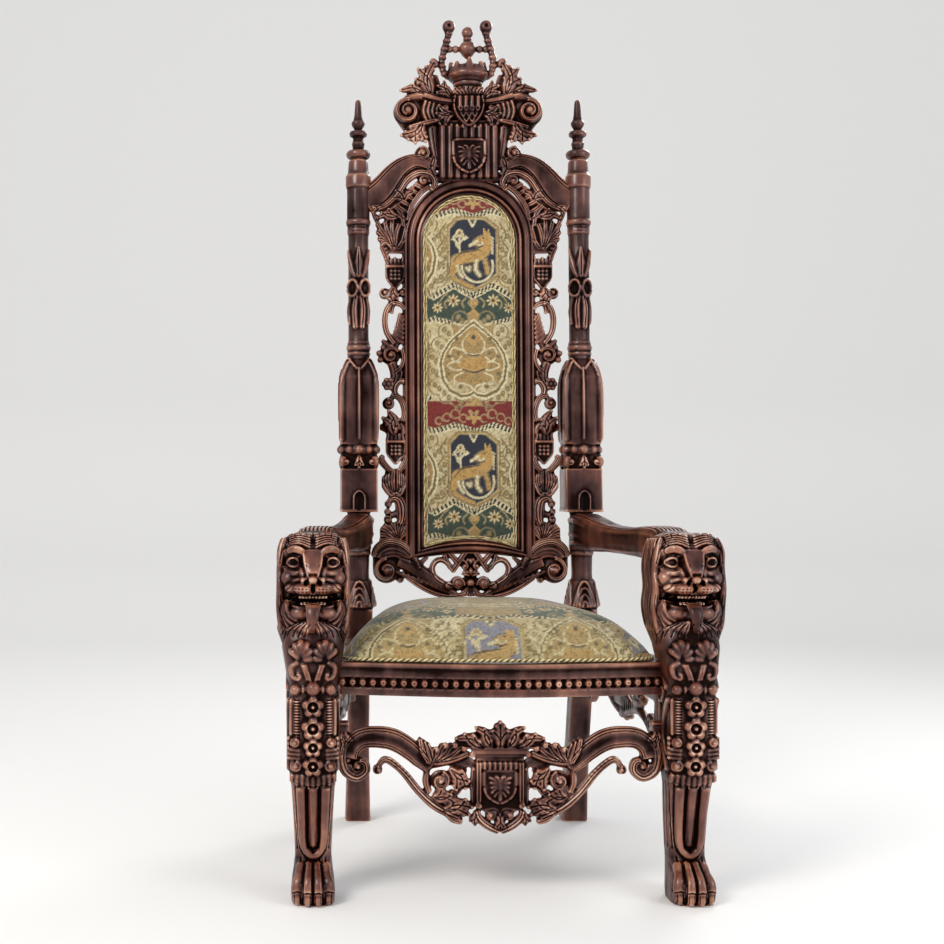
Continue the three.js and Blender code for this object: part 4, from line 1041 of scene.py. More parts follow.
def finialWork():
    lathe([(0, 1548.4), (19, 1548.4), (19, 1552), (25, 1554), (28, 1559), (28, 1565), (24, 1570), (14, 1572),
        (13, 1576), (14, 1583), (15.5, 1588), (13, 1592), (12, 1600), (14, 1603), (20, 1606), (21, 1611),
        (19, 1616), (10, 1618), (9, 1622), (15, 1631), (16, 1637), (11, 1644), (9, 1656), (7.4, 1680),
        (6.6, 1688), (3, 1691.5), (0, 1691.9)], sides=32)
    return taken()


def makePosts():
    mesh = carved("back_post_carving", shifted(postWork(), post["x"]), 2.2, keep=0.27)
    placePair("back_post_carving", mesh, "back_post")
    mesh = carved("finial_turning", shifted(finialWork(), post["x"]), 1.4, soften=1, keep=0.28)
    placePair("finial_turning", mesh, "finial")
    print("posts made")


# Lion legs.
lion = {
    "x": 358, "toes": (-29, -10, 10, 29),
    "petals": 5, "rosettes": (373, 332.5, 297, 261), "rosetteR": (20, 21, 17.5, 19),
    "teeth": ((576.5, 9, 6.2), (564.5, 8, 6.2)),  # height of each row, how many, and their pitch
}
legStations = [  # z, middle y, half width, half depth
    (0, -292, 41, 46), (20, -292, 42, 48), (44, -284, 40, 44), (64, -270, 37, 38), (78, -260, 35, 35),
    (96, -257, 35.6, 36), (160, -262, 38.6, 42), (214, -273, 41.6, 46), (232, -277, 45, 49),
    (300, -284, 46, 51), (400, -284, 46, 50),
    (440, -280, 53, 52), (480, -268, 60, 54), (520, -256, 58, 54), (540, -254, 50, 50),
]


def legFront(z):
    high, y, _, depth = zip(*legStations)
    return np.interp(z, high, y) - np.interp(z, high, depth)


def legStroke(line, widths, height, **more):
    # a stroke that follows the front of the leg
    drawn([(x, legFront(z) + 2 + 0.004 * x * x, z) for x, z in line], (0, -1, 0), widths, height, **more)


def rosette(x, z, radius, y):
    # five broad scalloped petals round a deep cup with a bead in it
    ball(x, y + 2, z, (radius * 0.92, 9, radius * 0.92), 24, 12)
    for k in range(lion["petals"]):
        angle = math.radians(90 + 360 * k / lion["petals"])
        reach = np.array((math.cos(angle), math.sin(angle)))
        middle = np.array((x, z)) + reach * radius * 0.62
        ball(middle[0], y - 2, middle[1], (radius * 0.46, 8, radius * 0.46), 16, 10)
    ball(x, y - 5.5, z, (4, 5, 4))
    ring = [(x + radius * 0.36 * math.cos(a), z + radius * 0.36 * math.sin(a))
        for a in np.linspace(0, math.tau, 12)]
    groove(ring, 2.8, 5)


def kneeWork():
    column(legStations, power=3.4, sides=56)
    for z, radius in zip(lion["rosettes"], lion["rosetteR"]):
        rosette(0, z, radius, legFront(z) - 1)
    # three balls joined by collars, under two leaves with curled ends and two ribbed shells
    ball(0, legFront(407) - 2, 407, (13.6, 14, 13.6), 20, 14)
    for hand in (-1, 1):
        ball(hand * 33, legFront(404) + 4, 404, (10, 11, 10), 16, 12)
        ball(hand * 18.5, legFront(405) + 2, 405, (3, 8, 8))
        for k in range(3):
            legStroke(handed(hand, [(15 + 3 * k, 452), (9 + 3 * k, 436), (3.5 + 3.4 * k, 420)]),
                [3, 3.4, 2.6], [7, 9, 8], along=14)
        legStroke(handed(hand, [(26, 456), (40, 446), (38, 430), (27, 424), (26, 432), (31, 433)]),
            [5, 6.4, 6, 5, 4, 3], [7, 9, 9, 8, 8, 8], along=26)
        ball(hand * 24, -300, 472, (20, 18, 20), 20, 14)
        ball(hand * 31, -298, 440, (12, 16, 15), 16, 12)
        for k in range(6):
            angle = math.radians(42 + 24 * k)
            reach = 41 - 2 * abs(k - 2.5)
            tip = hand * (23 + 0.62 * reach * math.cos(angle)), 453 + reach * math.sin(angle)
            drawn([(hand * (23 + 4 * math.cos(angle)), -315, 456),
                ((hand * 23 + tip[0]) / 2, -326, (458 + tip[1]) / 2), (tip[0], -323, tip[1] - 2),
                (tip[0], -308, tip[1] + 2)], (0, -1, 0.2), [3.4, 6, 7, 6], [6, 6, 6, 3], 9, along=16)
        # ticked side strips and plain outer edges
        legStroke(handed(hand, [(30, 389), (30, 316)]), 5, 5, ridge=0.5, along=14)
        legStroke(handed(hand, [(41, 389), (41, 316)]), 3.4, 4, along=14)
        for k in range(13):
            groove(handed(hand, [(25.5, 385 - 5.4 * k), (34.5, 385 - 5.4 * k)]), 1.3, 2.4)
        # cuff: curled ends and bars
        for x, z, r in ((34, 305, 9), (32, 260, 11)):
            ball(hand * x, legFront(z) + 5, z, (r, 10, r))
            scroll(hand * x, z, r + 2, 90, hand * 1.1, 9, y=legFront(z) + 3, band=0.25)
        for k in range(3):
            legStroke(handed(hand, [(22, 291 - 8 * k), (45, 292 - 8 * k)]), 3.4, 6, along=10)
        for k in range(5):
            ball(hand * 46, legFront(300) + 14, 312 - 9 * k, (4.2, 7, 4.2), 8, 6)
    # a scalloped hem under the cuff
    for k in range(9):
        x = -40 + 10 * k
        foot = 219 + 0.008 * x * x
        legStroke([(x * 0.94, 246), (x, 236), (x, foot + 3)], [4.4, 5.6, 5], 7, along=10)
        ball(x, legFront(foot) + 2 + 0.004 * x * x, foot, (5.2, 6, 4.4), 10, 6)
    # shin: a round reed inside a broad reed that turns under it
    legStroke([(0, 222), (0, 160), (0, 106), (0, 99)], [8.6, 8, 7, 4], [7, 8, 7, 5], along=30, ridge=0.8)
    reed = [(24, 222), (22, 160), (20, 112), (13, 92), (0, 84), (-13, 92), (-20, 112), (-22, 160), (-24, 222)]
    legStroke(reed, [9, 8.4, 8, 7.6, 7.4, 7.6, 8, 8.4, 9], [8, 9, 10, 12, 13, 12, 10, 9, 8], along=80,
        across=14, ridge=0.6)
    for hand in (-1, 1):
        groove([(hand * 12, 220), (hand * 11.4, 160), (hand * 10.5, 110), (hand * 6, 98), (0, 95)], 2, 5)
        groove([(hand * 35, 222), (hand * 32, 160), (hand * 29, 112), (hand * 18, 84), (0, 74)], 1.7, 4)
    # sides: long channels, and a scrolled leaf on the knee
    for view, hand in (("right", 1), ("left", -1)):
        for back, width in ((-272, 2.6), (-254, 2.6), (-288, 2)):
            groove([(back - 10, 222), (back, 160), (back + 4, 96)], width, 3.4, count=12, view=view)
        for line, widths, height in (
            ([(-312, 400), (-290, 424), (-262, 426), (-250, 402),
              (-262, 380), (-284, 380), (-290, 398), (-276, 406)], [8, 9, 9, 8, 7, 6, 5], 9),
            ([(-318, 388), (-300, 362), (-286, 322), (-300, 290), (-318, 280)], [6, 9, 9, 7, 5], 8),
            ([(-262, 378), (-262, 340), (-276, 302), (-300, 266), (-306, 246)], [7, 9, 9, 7, 5], 8),
            ([(-240, 452), (-236, 420), (-240, 372), (-258, 300), (-262, 236)], [5, 6, 6, 5, 4], 7),
        ):
            wide = 48 if line[0][1] > 430 else 46
            drawn([(hand * (wide - 2), y, z) for y, z in line], (hand, 0, 0), widths, height, 9, along=30)
            groove(line, 1.8, 2.6, 0.05, 0.95, count=20, view=view)
    # paw: four joined toes with two knuckles each and blunt claws
    for k, x in enumerate(lion["toes"]):
        tip = -352.5 if k in (1, 2) else -342
        drawn([(x * 0.7, -286, 70), (x * 0.84, tip + 36, 60), (x * 0.92, tip + 21, 49), (x, tip + 13, 38),
            (x, tip + 12, 24), (x, tip + 16, 12)], (0, -0.8, 0.6), [8, 10.6, 8.4, 10.8, 11.6, 11],
            [7, 11, 8, 11, 11, 6], 10, along=30, across=14)
        ball(x, tip + 19, 15, (11.6, 19, 15), 16, 12)
        drawn([(x, tip + 9, 25), (x, tip + 5, 14), (x, tip + 7, 3)], (0, -1, 0), [5, 6, 4.4], [4, 5, 3], 6,
            along=14)
        groove([(x - 9, 25), (x, 28), (x + 9, 25)], 1.6, 2.4)
        for hand in (-1, 1):
            groove([(x + hand * 5.6, 22), (x + hand * 5.8, 4)], 1.2, 1.8)
    for x in (-19.5, 0, 19.5):
        groove([(x * 0.8, 72), (x, 40), (x, 3)], 2, 4.4)
    return taken()


def headWork():
    # broad mane, squarish in plan, that carries the face
    column([(466, -262, 52, 48), (490, -258, 62, 50), (512, -254, 70, 52), (540, -250, 67, 52),
        (600, -248, 66.5, 52), (650, -248, 66, 52), (674, -248, 62, 50), (690, -250, 52, 44),
        (696, -250, 38, 34)], power=3.2, sides=64)
    for x, y, z, radii in ((0, -282, 652, (56, 38, 32)), (0, -280, 620, (60, 40, 44)),
            (0, -296, 600, (48, 36, 28)), (0, -306, 620, (30, 30, 28)), (0, -284, 552, (46, 32, 28)),
            (0, -278, 520, (46, 34, 34))):
        ball(x, y, z, radii, 28, 20)
    # flat bridge with raised edges, narrowing to a round nose
    drawn([(0, -312, 666), (0, -326, 644), (0, -340, 618)], (0, -1, 0.15), [19, 17.5, 11, 8], [7, 9, 10], 16,
        ridge=0.25, square=0.25, along=18, across=24)
    ball(0, -343, 611, (8.6, 10, 7.4), 18, 14)
    groove([(0, 602), (0, 586)], 2.6, 9)
    for hand in (-1, 1):
        drawn(handed(hand, [(18, -320, 662), (15, -332, 640), (9, -344, 616)]), (0, -1, 0.1), [2.2, 2.4, 2],
            [5, 6, 5], 10, along=16)
        groove(handed(hand, [(24, 650), (21, 634), (16, 620)]), 3, 5)
        # curled nostril round a dark hole
        scroll(hand * 17.5, 609, 8.4, 180 if hand > 0 else 0, -hand * 1.2, 12, y=-328, band=0.32)
        dent(hand * 12, 606, 3.4, 8, way=(hand, -1))
        # whisker pad with two rows of pits, and the fold behind it
        ball(hand * 19, -324, 594, (19, 25, 11.5), 24, 16)
        ball(hand * 36, -310, 594, (18, 23, 10.5), 22, 14)
        for row in (594, 588):
            for k in range(4):
                dent(hand * (12 + 7 * k), row, 1.4, 2)
        drawn(handed(hand, [(24, -324, 612), (38, -314, 606), (50, -300, 596), (56, -290, 582)]),
            (hand * 0.3, -1, 0), [3, 4.4, 4.4, 3], [3, 3, 3, 2], 8, along=22)
        groove(handed(hand, [(26, 606), (40, 602), (51, 590)]), 1.8, 2.6)
        # cheekbone, brow and the eye between two lids
        ball(hand * 44, -290, 610, (20, 24, 20), 22, 16)
        drawn(handed(hand, [(22, -318, 626), (34, -315, 622), (48, -303, 625), (57, -290, 634)]),
            (0, -1, 0.2), [3, 5, 5, 3], [2, 3, 3, 2], 10, along=22)
        drawn(handed(hand, [(14, -318, 654), (22, -322, 664), (36, -318, 668), (50, -303, 661),
            (58, -291, 648)]), (hand * 0.2, -1, 0), [5, 7, 7, 5.4, 3], [3, 4, 4, 3, 2], 12, along=30)
        ball(hand * 37, -305.5, 643, (9, 10, 7.6), 20, 16)
        drawn(handed(hand, [(25, -310, 641), (31, -315, 649), (42, -313, 650), (51, -300, 642)]),
            (0, -1, 0.1), [1.8, 2.6, 2.6, 1.8], [2.4, 3.4, 3.4, 2], 7, along=20)
        drawn(handed(hand, [(25, -310, 641), (32, -314, 635), (42, -312, 635), (51, -300, 641)]),
            (0, -1, -0.1), [1.6, 2, 2, 1.6], [2, 2.6, 2.6, 2], 6, along=20)
        # nested folds sweep down from the corners of the mouth
        for k in range(4):
            drawn(handed(hand, [(46 + 4.6 * k, -301 + 4 * k, 574 - k),
                (49 + 4.4 * k, -301 + 4.4 * k, 556 - 5 * k), (41 + 4 * k, -305 + 4 * k, 540 - 8 * k),
                (28 + 2 * k, -308 + 3 * k, 531 - 10 * k)]), (hand * 0.5, -1, 0), [2.8, 4.4, 4.4, 2.8],
                [4, 7, 7, 4], 9, along=24)
        # smooth locks flow down the sides of the mane and curl in under the jaw
        for k in range(5):
            y = -290 + 19 * k
            drawn(handed(hand, [(54 + min(k, 1) * 6, y, 690 - k), (62 + min(k, 1) * 3, y - 6, 664),
                (65, y + 5, 630), (65, y - 5, 592), (66, y + 5, 556), (63, y, 520), (52, y + 3, 486)]),
                (hand, -0.15, 0), [6, 9.6, 10, 10, 10, 8, 3.4], [2, 5, 5.4, 5.4, 5.4, 4, 1], 8, along=46,
                across=12)
        view = "right" if hand > 0 else "left"
        for k in range(9):
            y = -300 + 12 * k
            line = [(y, 690), (y - 6, 660), (y + 5, 630), (y - 6, 594), (y + 5, 558), (y - 1, 522),
                (y + 4, 490)]
            groove(line, 1.3, 1.7, count=34, view=view)
        # jaw beside the tongue
        ball(hand * 25, -300, 546, (21, 20, 14), 22, 14)
        dent(hand * 42, 578, 5, 12, way=(hand * 5, -8))
        # hair parted over the bridge: fine locks sweep outwards and down
        for k in range(5):
            drawn(handed(hand, [(3, -313 + 3.4 * k, 671 + 5 * k), (26, -309 + 3.4 * k, 679 + 4 * k),
                (45, -299 + 4 * k, 675 + 4 * k), (58, -286 + 4.4 * k, 660 + 4 * k), (63, -278 + 5 * k, 636)]),
                (hand * 0.4, -1, 0.4), [2.8, 4, 4, 3.6, 2.2], [3, 4, 4, 3.4, 2], 10, along=30)
        for k in range(5):
            line = [(4, 674 + 5 * k), (26, 682 + 4 * k), (45, 678 + 4 * k), (58, 664 + 4 * k), (63, 640)]
            groove(handed(hand, line), 1.3, 2.2)
    # open mouth between two rows of small teeth, and a long tongue
    groove([(-44, 572), (-24, 571), (0, 570), (24, 571), (44, 572)], 3.2, 16, count=20)
    for row, count, pitch in lion["teeth"]:
        for k in range(count):
            x = (k - (count - 1) / 2) * pitch
            ball(x, -315 + 0.009 * x * x, row, (2.9, 6, 3.8), 10, 8)
    stroke([(-42, 562), (-24, 557), (0, 555), (24, 557), (42, 562)], [2.6, 3.4, 3.6, 3.4, 2.6],
        [7, 10, 11, 10, 7], y=-306, along=26)
    drawn([(0, -310, 564), (0, -334, 558), (1, -343, 540), (2, -340, 524), (2, -330, 511)], (0, -1, 0.4),
        [13, 15, 12.5, 9.5, 5], [5, 7, 7, 6, 3], 8, along=30, across=16)
    for k in range(9):
        x = -52 + 13 * k
        groove([(x * 0.9, -300), (x, -262), (x * 1.04, -222), (x, -190)], 1.6, 2.4, count=18, view="top")
    # beard: smooth lobes with fine lines, spreading from under the tongue
    for hand in (-1, 1):
        for k in range(5):
            drawn(handed(hand, [(6 + 6 * k, -312 + 2 * k, 532 - 2 * k), (12 + 10 * k, -314 + 5 * k, 518 - k),
                (16 + 11.4 * k, -306 + 9 * k, 500 + k)]), (hand * 0.3, -1, 0), [4, 8, 4], [4, 7, 4], 10,
                along=20)
            groove(handed(hand, [(6 + 6 * k, 528), (12 + 10 * k, 516), (16 + 11.4 * k, 502)]), 1.2, 1.6)
    return taken()


def makeLegs():
    work = together(kneeWork(), headWork())
    mesh = carved("lion_leg_carving", shifted(work, lion["x"]), 2.0, leaning=False, keep=0.42)
    points, _ = arrays(mesh)
    x, y, z = points.T
    x = x - lion["x"]
    # the face is handled and rubbed; the eyes and the tongue are darker; the inside of the open mouth is
    # painted shade, and the teeth get a painted highlight
    toneAndPaintedLight = 0.05 * np.clip((z - 480) / 60, 0, 1) * np.clip((-262 - y) / 30, 0, 1)
    toneAndPaintedLight -= 0.34 * (np.hypot(np.abs(x) - 37, z - 643) < 7) * (y < -300)
    toneAndPaintedLight -= 0.16 * (np.abs(x - 1) < 14) * (y < -328) * (z < 560) * (z > 508)
    # painted shade inside the open mouth
    toneAndPaintedLight -= 0.4 * (np.abs(x) < 44) * (np.abs(z - 570.5) < 11) * (y > -325)
    # painted highlight on the teeth
    for row, count, pitch in lion["teeth"]:
        for k in range(count):
            across = x - (k - (count - 1) / 2) * pitch
            toneAndPaintedLight += 0.85 * (np.hypot(across, z - row) < 2.4) * (y < -300) * (y > -325)
    store(mesh, "toneAndPaintedLight", toneAndPaintedLight)
    placePair("lion_leg_carving", mesh, "lion_leg")
    print("legs made")


# Arms.
armStations = [  # middle x, y, top, bottom, half width
    (256, 224, 726, 646, 33), (258, 190, 727, 648, 34), (262, 150, 722, 650, 34),
    (278, 96, 707, 648, 33), (314, 10, 700, 643, 34),
    (342, -90, 702, 640, 36), (355, -160, 702, 630, 38), (358, -186, 697, 618, 38),
    (358, -214, 694, 612, 37),
]


def armWork():
    middle = [(x, y, (top + bottom) / 2) for x, y, top, bottom, _ in armStations]
    high = [(top - bottom) / 2 for _, _, top, bottom, _ in armStations]
    drawn(middle, (0, 0, 1), [s[4] for s in armStations], high, high, ridge=0.42, square=0.42, along=60,
        across=36)
    # rounded rail along each upper edge, and channels under it
    for hand in (-1, 1):
        for lift, reach, thick in ((0.62, 0.96, 6), (-0.2, 0.93, 5), (-0.66, 0.86, 5)):
            line = [(x + hand * half * reach, y, (top + bottom) / 2 + lift * (top - bottom) / 2) for x, y,
                top, bottom, half in armStations]
            drawn(line, (hand, 0, 0), thick, 4, 6, along=50)
        edge = [(x + hand * (half - 9), y) for x, y, _, _, half in armStations]
        groove(edge, 1.8, 2.2, 0.06, 0.97, count=40, view="top")
    # combed hair runs back from the mane over the arm's end
    for k in range(9):
        x = 326 + 8 * k
        groove([(x, -188), (x - 1, -160), (x - 5 + 0.6 * k, -124)], 1.6, 2.6, count=14, view="top")
    return taken()


def makeArms():
    mesh = carved("arm_carving", armWork(), 2.2, leaning=False, keep=0.3)
    placePair("arm_carving", mesh, "arm")
    print("arms made")


# Seat rails.
seatRail = {"half": 311.4, "face": -276, "bow": 40, "beads": 32, "beadR": 7.0, "beadZ": 411.5}


def bowAt(x):
    return seatRail["face"] - seatRail["bow"] * max(0, math.cos(x / seatRail["half"] * math.pi / 2)) ** 1.3


def swept(path, profile):
    # a closed profile of [out, z] carried along a path of [x, y]: out is to the left of the way
    line = np.array(path, float)
    ahead = unit(np.gradient(line, axis=0))
    beside = np.stack([ahead[:, 1], -ahead[:, 0]], -1)
    shape = bmesh.new()
    bmesh.ops.create_grid(shape, x_segments=len(line) + 1, y_segments=len(profile), size=1)
    points, faces = formOf(shape)
    column = np.rint((points[:, 0] + 1) / 2 * (len(line) + 1)).astype(int)
    row = np.rint((points[:, 1] + 1) / 2 * len(profile)).astype(int) % len(profile)
    section = np.array(profile, float)
    ends = (column == 0) | (column == len(line) + 1)
    at = np.clip(column - 1, 0, len(line) - 1)
    out = np.where(ends, section[:, 0].mean(), section[row, 0])
    high = np.where(ends, section[:, 1].mean(), section[row, 1])
    add((np.stack([*(line[at] + beside[at] * out[:, None]).T, high], -1), faces))


# [inwards, z] from the top's inner edge, over the thumb moulding, down the flat face and the bead channel
railProfile = [
    (27, 449.6), (-4, 449.6), (-6, 448), (-6.4, 444), (-4, 441), (-1, 439), (0, 436), (0, 422.5), (1, 421),
    (6.5, 420.4), (7, 412), (6.5, 403), (1, 402.4), (-0.6, 401), (-1.6, 396), (-1, 390),
    (1, 386.6), (27, 386.6),
]


def makeRails():
    half = seatRail["half"]
    path = [(x, bowAt(x)) for x in np.linspace(half, -half, 61)]
    swept(path, railProfile)
    for k in range(seatRail["beads"]):
        x = -half + 9.4 + (2 * half - 18.8) * k / (seatRail["beads"] - 1)
        r = seatRail["beadR"]
        ball(x, bowAt(x) + 4, seatRail["beadZ"], (r, r + 2, r + 0.6), 16, 12)
        dent(x, seatRail["beadZ"], 1.9, 1.6)
    mesh = carved("front_seat_rail_moulding", taken(), 1.9, leaning=False, keep=0.34)
    place("front_seat_rail_moulding", mesh, mahoganyWood, "front_seat_rail")
    print("front rail made")


# Arched frame of the back.
backFrame = {"outer": 149, "inner": 108, "sill": 618, "riseOut": 16, "riseIn": 20}


def archPath(r, count=44, turns=30):
    # the closed outline at distance r from the middle line: foot from right to left, then up and over
    sill = backFrame["sill"] + (backFrame["outer"] - r) * 0.72
    rise = np.interp(r, [backFrame["inner"], backFrame["outer"]], [backFrame["riseIn"], backFrame["riseOut"]])
    across = np.linspace(r, -r, 26)
    foot = [(x, sill + rise * (1 - (x / r) ** 2)) for x in across]
    left = [(-r, z) for z in np.linspace(sill, throne["archZ"], count)[1:]]
    arch = [(-r * math.cos(a), throne["archZ"] + r * math.sin(a)) for a in np.linspace(0, math.pi, turns)[1:]]
    right = [(r, z) for z in np.linspace(throne["archZ"], sill, count)[1:]]
    return np.array(foot + left + arch + right)


def ringed(section):
    # a closed moulding round the arch: the section is [distance from the middle line, forward]
    lines = np.array([archPath(r) for r, _ in section])
    rows, steps = len(section), lines.shape[1]
    shape = bmesh.new()
    bmesh.ops.create_grid(shape, x_segments=steps - 1, y_segments=rows, size=1)
    points, faces = formOf(shape)
    step = np.rint((points[:, 0] + 1) / 2 * (steps - 1)).astype(int)
    row = np.rint((points[:, 1] + 1) / 2 * rows).astype(int) % rows
    forward = np.array([s[1] for s in section], float)
    add((np.stack([lines[row, step, 0], -forward[row], lines[row, step, 1]], -1), faces))


def makeBackFrame():
    section = [(149, -22), (149, 7), (148, 11), (145, 12.6), (142.4, 9), (141, 11), (139.5, 17), (136, 20.4),
        (131, 20.8), (127.5, 18), (126, 12), (124.4, 9), (123, 12), (120.6, 16.4), (117, 16.6), (114.8, 12),
        (113.6, 8), (112.4, 9), (110.4, 9.6), (108.4, 7), (108.2, -22)]
    ringed(section)
    mesh = carved("back_frame_moulding", taken(), 1.7, soften=1, keep=0.13)
    place("back_frame_moulding", mesh, mahoganyWood, "back_frame")
    print("back frame made")


# Side rails, rear rail and side aprons.
def makeSideRails():
    start, end = np.array((329.6, -231.5)), np.array((281.6, 189.5))
    path = [start + (end - start) * t for t in np.linspace(1, 0, 40)]
    swept(path, railProfile)
    for k in range(21):
        x, y = start + (end - start) * (0.03 + 0.94 * k / 20)
        ball(x - 4, y, seatRail["beadZ"], (9, 7, 7.4), 14, 10)
        dent(y, seatRail["beadZ"], 1.9, 1.6, "right")
    mesh = carved("side_rail_moulding", taken(), 2.4, leaning=False, keep=0.3)
    placePair("side_rail_moulding", mesh, "side_seat_rail")
    rear = [(-14, 386.2), (13, 386.2), (13.6, 392), (11, 397), (11, 438), (13.6, 443), (13.6, 449.6),
        (-14, 449.6)]
    swept([(x, 220) for x in np.linspace(-224.5, 224.5, 12)], rear)
    mesh = carved("rear_rail_moulding", taken(), 3.0, leaning=False, keep=0.2)
    place("rear_rail_moulding", mesh, mahoganyWood, "rear_seat_rail")
    print("side and rear rails made")


sideApron = {"swing": math.atan2(-48, 422), "x": 291}


def sideApronWork():
    # drawn square to the front, then swung in line with the side rail
    top = throne["railBottom"] - 0.6
    slab([(-230, top), (-230, 366), (-160, 368), (-70, 366), (20, 366), (110, 370), (196, 366), (196, top)],
        -6, 8)
    # C-scrolls at both ends, joined by a moulded band
    band([(-226, 372), (-222, 340), (-214, 312), (-194, 300), (-176, 310), (-178, 328), (-192, 332)],
        [8, 9, 9, 8, 8, 7, 5], 11, [0.4, -0.4], along=36)
    scroll(-194, 318, 19, 200, 1.2, 13, band=0.22)
    band([(-182, 306), (-150, 322), (-112, 330), (-74, 322), (-40, 312)], [7, 8, 9, 8, 7], 10, [0.5, -0.5],
        along=30)
    leaf((-112, 330), [(-140, 356), (-120, 362), (-98, 358), (-84, 350)], 9, 11, frill=2)
    for k in range(5):
        lobe([(-96 + 12 * k, 326 - 3 * k), (-90 + 12 * k, 344 - 2 * k)], [6, 5], 12, 1.8)
    leaf((-22, 362), [(-70, 326), (-48, 306), (-22, 299), (6, 306), (30, 328)], 13, 14, frill=2)
    ball(-22, -8, 346, (11, 9, 11))
    band([(-6, 312), (34, 326), (76, 346), (118, 350), (150, 336), (168, 312), (186, 304)],
        [7, 8, 8, 8, 8, 8, 6], 11, [0.4, -0.4], along=36)
    leaf((70, 346), [(44, 362), (66, 366), (92, 364)], 8, 11, frill=1)
    scroll(174, 318, 17, 20, -1.2, 13, band=0.22)
    band([(186, 372), (194, 346), (192, 320)], [7, 8, 7], 11, [0.3], along=20)
    return taken()


def makeSideAprons():
    mesh = carved("side_apron_carving", sideApronWork(), 2.2, leaning=False, keep=0.34)
    points, _ = arrays(mesh)
    turn = math.pi / 2 - sideApron["swing"]
    x, y = points[:, 0].copy(), points[:, 1].copy()
    points[:, 0] = x * math.cos(turn) - y * math.sin(turn) + sideApron["x"]
    points[:, 1] = x * math.sin(turn) + y * math.cos(turn)
    moved(mesh, points)
    placePair("side_apron_carving", mesh, "side_apron")
    print("side aprons made")


# Tapestry: which dye lies where on the cloth.
tapestry = {
    "pitch": 163, "repeat": 498, "offset": 8, "zeroZ": 1247,
    "cream": "#cbb98c", "tan": "#a98a55", "olive": "#7d6a3c", "navy": "#262936", "gold": "#bd9656",
    "red": "#7c241f", "green": "#39473a", "black": "#17130f", "pale": "#ddd0a8", "brown": "#4b2f1a",
    "threadMm": 1.1,
}
dyes = ("tan", "olive", "navy", "gold", "red", "green", "pale", "brown", "black")


class Cloth:
    # which dye covers each point, painted one shape over another
    def __init__(self, across, along):
        self.u, self.v = across, along
        self.cover = {dye: np.zeros(len(across)) for dye in dyes}

    def paint(self, dye, share):
        share = np.clip(share, 0, 1)
        for other in dyes:
            self.cover[other] *= 1 - share
        if dye in self.cover:
            self.cover[dye] += share

    def gap(self, line):
        # distance of every point to a smooth line
        path = flow(line, np.linspace(0, 1, 5 * len(line) + 4))[:, :2]
        flat = np.stack([self.u, self.v], -1)
        low, high = path.min(0) - 12, path.max(0) + 12
        gap = np.full(len(flat), 99.0)
        near = np.nonzero(((flat > low) & (flat < high)).all(1))[0]
        gap[near] = gapTo(flat[near], path)
        return gap

    def line(self, dye, line, half):
        self.paint(dye, (half - self.gap(line)) / 1.6 + 0.5)

    def disc(self, dye, x, z, r, tall=1.0):
        self.paint(dye, (r - np.hypot(self.u - x, (self.v - z) / tall)) / 1.8 + 0.5)

    def inside(self, outline):
        flat, held = np.array(outline, float), np.zeros(len(self.u), bool)
        for (x0, z0), (x1, z1) in zip(flat, np.roll(flat, -1, axis=0)):
            if z0 == z1:
                continue
            held ^= ((self.v > z0) != (self.v > z1)) & (self.u < (x1 - x0) * (self.v - z0) / (z1 - z0) + x0)
        return held

    def area(self, dye, outline):
        self.paint(dye, self.inside(outline).astype(float))

    def flower(self, x, z, r, petals=8):
        angle = np.arctan2(self.v - z, self.u - x)
        reach = np.hypot(self.u - x, self.v - z)
        self.paint("gold", (r * (0.72 + 0.28 * np.cos(petals * angle)) - reach) / 1.8 + 0.5)
        self.paint("pale", ((np.abs(np.cos(petals * angle / 2)) > 0.9) & (reach < r * 0.8)
            & (reach > r * 0.35)).astype(float))
        self.disc("brown", x, z, r * 0.24)

    def fringe(self, middle, half, window):
        # a row of dark and light stitches that follows a zigzag line
        off = self.v - middle
        held = (np.abs(off) < half) & window
        stitch = np.sin(math.tau * (np.abs(self.u) * 0.9 - off * 0.35) / 8.0)
        self.paint("black", (held & (stitch > 0)).astype(float))
        self.paint("pale", (held & (stitch <= 0)).astype(float))
        self.paint("pale", ((np.abs(off + half) < 1.5) & window).astype(float))


def zigzag(u, low, high):
    # low under the middle of a motif and high a quarter of the way out, drawn in straight runs
    share = np.abs(np.mod(np.abs(u) / 45, 2))
    return low + (high - low) * np.where(share > 1, 2 - share, share)


beast = {
    "body": [((-38, 64), (-15, 71), (10, 74), (24, 84)), 12.5],
    "chest": [((12, 76), (26, 84), (34, 100)), 11.5],
    "neck": [((30, 88), (36, 100), (31, 114)), 10.5], "head": [((32, 114), (20, 113), (8, 105)), 7.6],
    "haunch": [((-38, 62), (-42, 50), (-44, 42)), 9.5],
    "tail": [((-47, 56), (-50, 38), (-41, 21), (-18, 8), (-3, 2)), 4.2],
    "hindLeg": [((-36, 50), (-31, 34), (-24, 25)), 3.2], "foreLeg": [((8, 62), (6, 43), (15, 29)), 4.0],
    "otherLeg": [((27, 66), (32, 48), (33, 35)), 4.4], "thigh": [((-16, 46), (-9, 40), (-8, 48)), 3.0],
}


